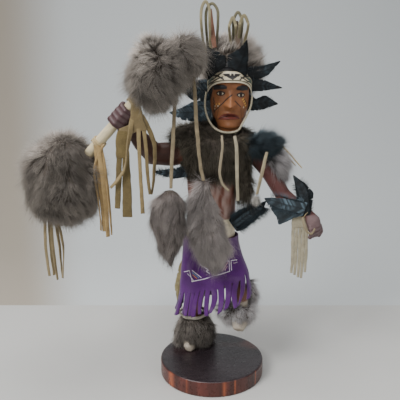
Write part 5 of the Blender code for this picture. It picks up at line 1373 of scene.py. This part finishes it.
def rootedOn(points, quads, normals, count, rng):
    # Even random places on a skin, the skin's normal at each, and its area:
    # a + (b - a) s + (c - a) t, with s and t turned over where they pass 1.
    triangles = np.concatenate((quads[:, :3], quads[:, [0, 2, 3]]))
    a, b, c = (points[triangles[:, k]] for k in range(3))
    areas = np.linalg.norm(np.cross(b - a, c - a), axis=1)
    chosen = rng.choice(len(triangles), count, p=areas / areas.sum())
    s, t = rng.random((2, count, 1))
    over = (s + t) > 1
    s, t = np.where(over, 1 - s, s), np.where(over, 1 - t, t)
    roots = a[chosen] + (b - a)[chosen] * s + (c - a)[chosen] * t
    ways = [normals[triangles[chosen, k]] for k in range(3)]
    return roots, unit(ways[0] * (1 - s - t) + ways[1] * s + ways[2] * t), areas.sum() / 2


def makeFur(node, strands, length, lie, clump, tones, fall, seed):
    # Rooted strands on a smooth undercoat sunk in from the solid. A strand
    # leans from its skin's normal towards the fall, and its tip is drawn to
    # its clump's tip, so the coat breaks into locks.
    look = furLook
    rng = np.random.default_rng(seed)
    small, black = node == "white_down", tones == "black"
    points, quads, normals = remeshed(node, look["tuftVoxel" if small else "voxel"], 4)
    lumps = look["lumps"] * wobble(points, 0.009, seed) * (0.1 if small else 1)
    under = points - normals * (look["tuftSink" if small else "sink"] + lumps)[:, None]
    coat = {"black": "black_under", "white": "white_under"}.get(tones, "undercoat")
    slot = {"black": "black_down", "white": "white_down"}.get(tones, "grey_fur")
    placed(node + "_undercoat", (under, [quads]), coat, node, slot)

    strands = int(strands * (1))
    roots, out, area = rootedOn(under, quads, normals, strands, rng)
    fall = unit(np.array(fall, float))
    drawn = fall - out * (out @ fall)[:, None]
    sway = np.stack([wobble(roots, 0.022, seed + 10 + k) for k in range(3)], -1)
    way = unit(out * (1 - lie) + drawn * lie * 1.25 + sway * 0.50
               + rng.normal(0, look["blackSpread" if black else "spread"], (strands, 3)))
    heads = rng.choice(strands, min(max(6, int(area / clump ** 2)), strands), replace=False)
    mine = nearestOf(roots, roots[heads])
    headWay = unit(way[heads] + rng.normal(0, 0.20, (len(heads), 3)))
    longs = length * rng.uniform(0.6, 1.1, strands)
    wisp = rng.random(strands) < look["wisps"]
    longs = np.where(wisp, longs * look["wispLong"], longs) * (1 + 0.30 * wobble(roots, 0.013, seed + 30))
    headLong = length * rng.uniform(0.85, 1.2, len(heads))
    headTip = roots[heads] + headWay * headLong[:, None]
    pull = (look["pull"] * rng.uniform(0.3, 1.3, strands) * np.where(wisp, 0.3, 1))[:, None]
    tips = roots + way * longs[:, None]
    tips = tips + (headTip[mine] - tips) * pull + fall * (longs * 0.10)[:, None]
    if node == "head_fur":
        # Behind the pair of feathers, and at the back eased to end within the
        # room: back + room tanh((y - back) / room).
        y = np.maximum(tips[:, 1], look["front"])
        past = (y - look["back"]) / look["room"]
        tips[:, 1] = np.where(past > 0, look["back"] + look["room"] * np.tanh(past), y)
    lowest = baseTop if node == "ankle_fur_right" else 0
    tips[:, 2] = np.maximum(tips[:, 2], lowest + look["low"])

    tone = rng.uniform(0.80, 1.20, len(heads))[mine]
    tone = tone * rng.uniform(*((0.5, 1.5) if black else (0.90, 1.10)), strands)
    # Painted light: strands whose skin faces up and to the left are made lighter, and those facing away
    # darker.
    facingLight = out @ unit(np.array((-0.25, 0, 0.95)))
    tone = tone * (1 + 0.25 * wobble(roots, 0.020, seed + 20)) * (1 + look["sideLight"] * facingLight)
    root, tip = (ink(code) for code in furTones[tones])
    tint = tone[:, None, None] * np.stack([root] * 3 + [tip])[None]
    width = look["width"] * 1 * rng.uniform(0.6, 1.3, strands)
    width = width * np.where(wisp, 0.7, 1) * (0.6 if small else 1)
    spikePiece(node + "_strands", node, slot, roots, tips, width, tint, rng)


for furSeed, (furNode, furFacts) in enumerate(furs.items()):
    makeFur(furNode, *furFacts, 100 + 50 * furSeed)
print("fur made")

# Stage and light

stageLook = {
    "edge": 0.20, "bendStart": 0.45, "bend": 0.90, "reach": 2.6, "left": "a59c8e", "right": "c8cccc",
    "away": 0.64,
    "floor": {"colour": "c3c2be", "mottle": [(0.3, 0.97, 1.03)], "roughness": (0.6, 0.7)},
    "wall": {"colour": "c8cccc", "mottle": [(0.5, 0.97, 1.03)], "roughness": (0.8, 0.9)},
}
lights = {  # place, what it points at, size and power
    "key": ((-0.80, -0.80, 1.15), (0, 0, 0.22), 0.6, 21), "fill": ((0.95, -0.75, 0.65), (0, 0, 0.22), 1.0, 3),
    "top": ((-0.10, -0.10, 1.35), (0, 0.05, 0.1), 0.8, 13),
}
roomLight = {"colour": (0.93, 0.95, 1.0, 1), "strength": 0.30}


def makeStage():
    # The floor is flat as far as the backdrop, which lies on, bends up in a
    # quarter circle and goes straight up.
    look = stageLook
    reach, edgeAt, start, bend = look["reach"], look["edge"], look["bendStart"], look["bend"]
    floor = np.array(((-reach, -reach, 0), (reach, -reach, 0), (reach, edgeAt, 0), (-reach, edgeAt, 0)))
    turn = np.linspace(0, math.pi / 2, 33)
    quarter = np.stack((start + bend * np.sin(turn), bend * (1 - np.cos(turn))), -1)
    profile = np.concatenate(([(edgeAt, 0)], quarter, [(start + bend, reach)]))
    rows = len(profile)
    wall = np.concatenate([np.column_stack((np.full(rows, x), profile)) for x in (-reach, reach)])
    index = np.arange(rows - 1)
    bent = np.stack((index, index + rows, index + rows + 1, index + 1), -1)
    floorPaint, wallPaint = finishOf("floor", look["floor"]), finishOf("wall", look["wall"])
    # The wall's left side is painted darker and warmer, as painted shade where the room turns a corner,
    # past a line that goes back from the floor's edge: x / (y + away) from -0.36 to -0.22.
    tree = wallPaint.node_tree
    place = addNode(tree, "SeparateXYZ", {"Vector": addNode(tree, "TexCoord", {}).outputs["Object"]})
    away = addNode(tree, "Math", {0: place.outputs["Y"], 1: look["away"]}, operation="ADD")
    slope = addNode(tree, "Math", {0: place.outputs["X"], 1: away.outputs[0]}, operation="DIVIDE")
    level = addNode(tree, "MapRange", {"Value": slope.outputs[0], "From Min": -0.36, "From Max": -0.22,
                                       "To Min": 0.0, "To Max": 1.0}, interpolation_type="SMOOTHSTEP")
    mixed = addNode(tree, "MixRGB", {"Fac": level.outputs[0], "Color1": (*ink(look["left"]), 1),
                                     "Color2": (*ink(look["right"]), 1)})
    tree.links.new(mixed.outputs[0], tree.nodes["Principled BSDF"].inputs["Base Color"])
    pieceFrom("floor", (floor, [np.array(((0, 1, 2, 3),))]), floorPaint, smooth=False)
    pieceFrom("backdrop", (wall, [bent]), wallPaint)


def addLight(name, place, aim, size, power):
    # A square light turned to point at its aim.
    data = bpy.data.lights.new(name, "AREA")
    data.size = size
    data.energy = power
    light = bpy.data.objects.new(name, data)
    light.location = place
    x, y, z = np.array(aim, float) - np.array(place)
    light.rotation_euler = (math.pi / 2 - math.atan2(-z, math.hypot(x, y)), 0, math.atan2(-x, y))
    bpy.context.scene.collection.objects.link(light)


def lightRoom():
    # An even, slightly cool light from all sides.
    world = bpy.data.worlds.new("room")
    world.use_nodes = True
    back = world.node_tree.nodes["Background"]
    back.inputs["Color"].default_value = roomLight["colour"]
    back.inputs["Strength"].default_value = roomLight["strength"]
    bpy.context.scene.world = world


makeStage()
for lightName, lightFacts in lights.items():
    addLight(lightName, *lightFacts)
lightRoom()
print("stage and light made")
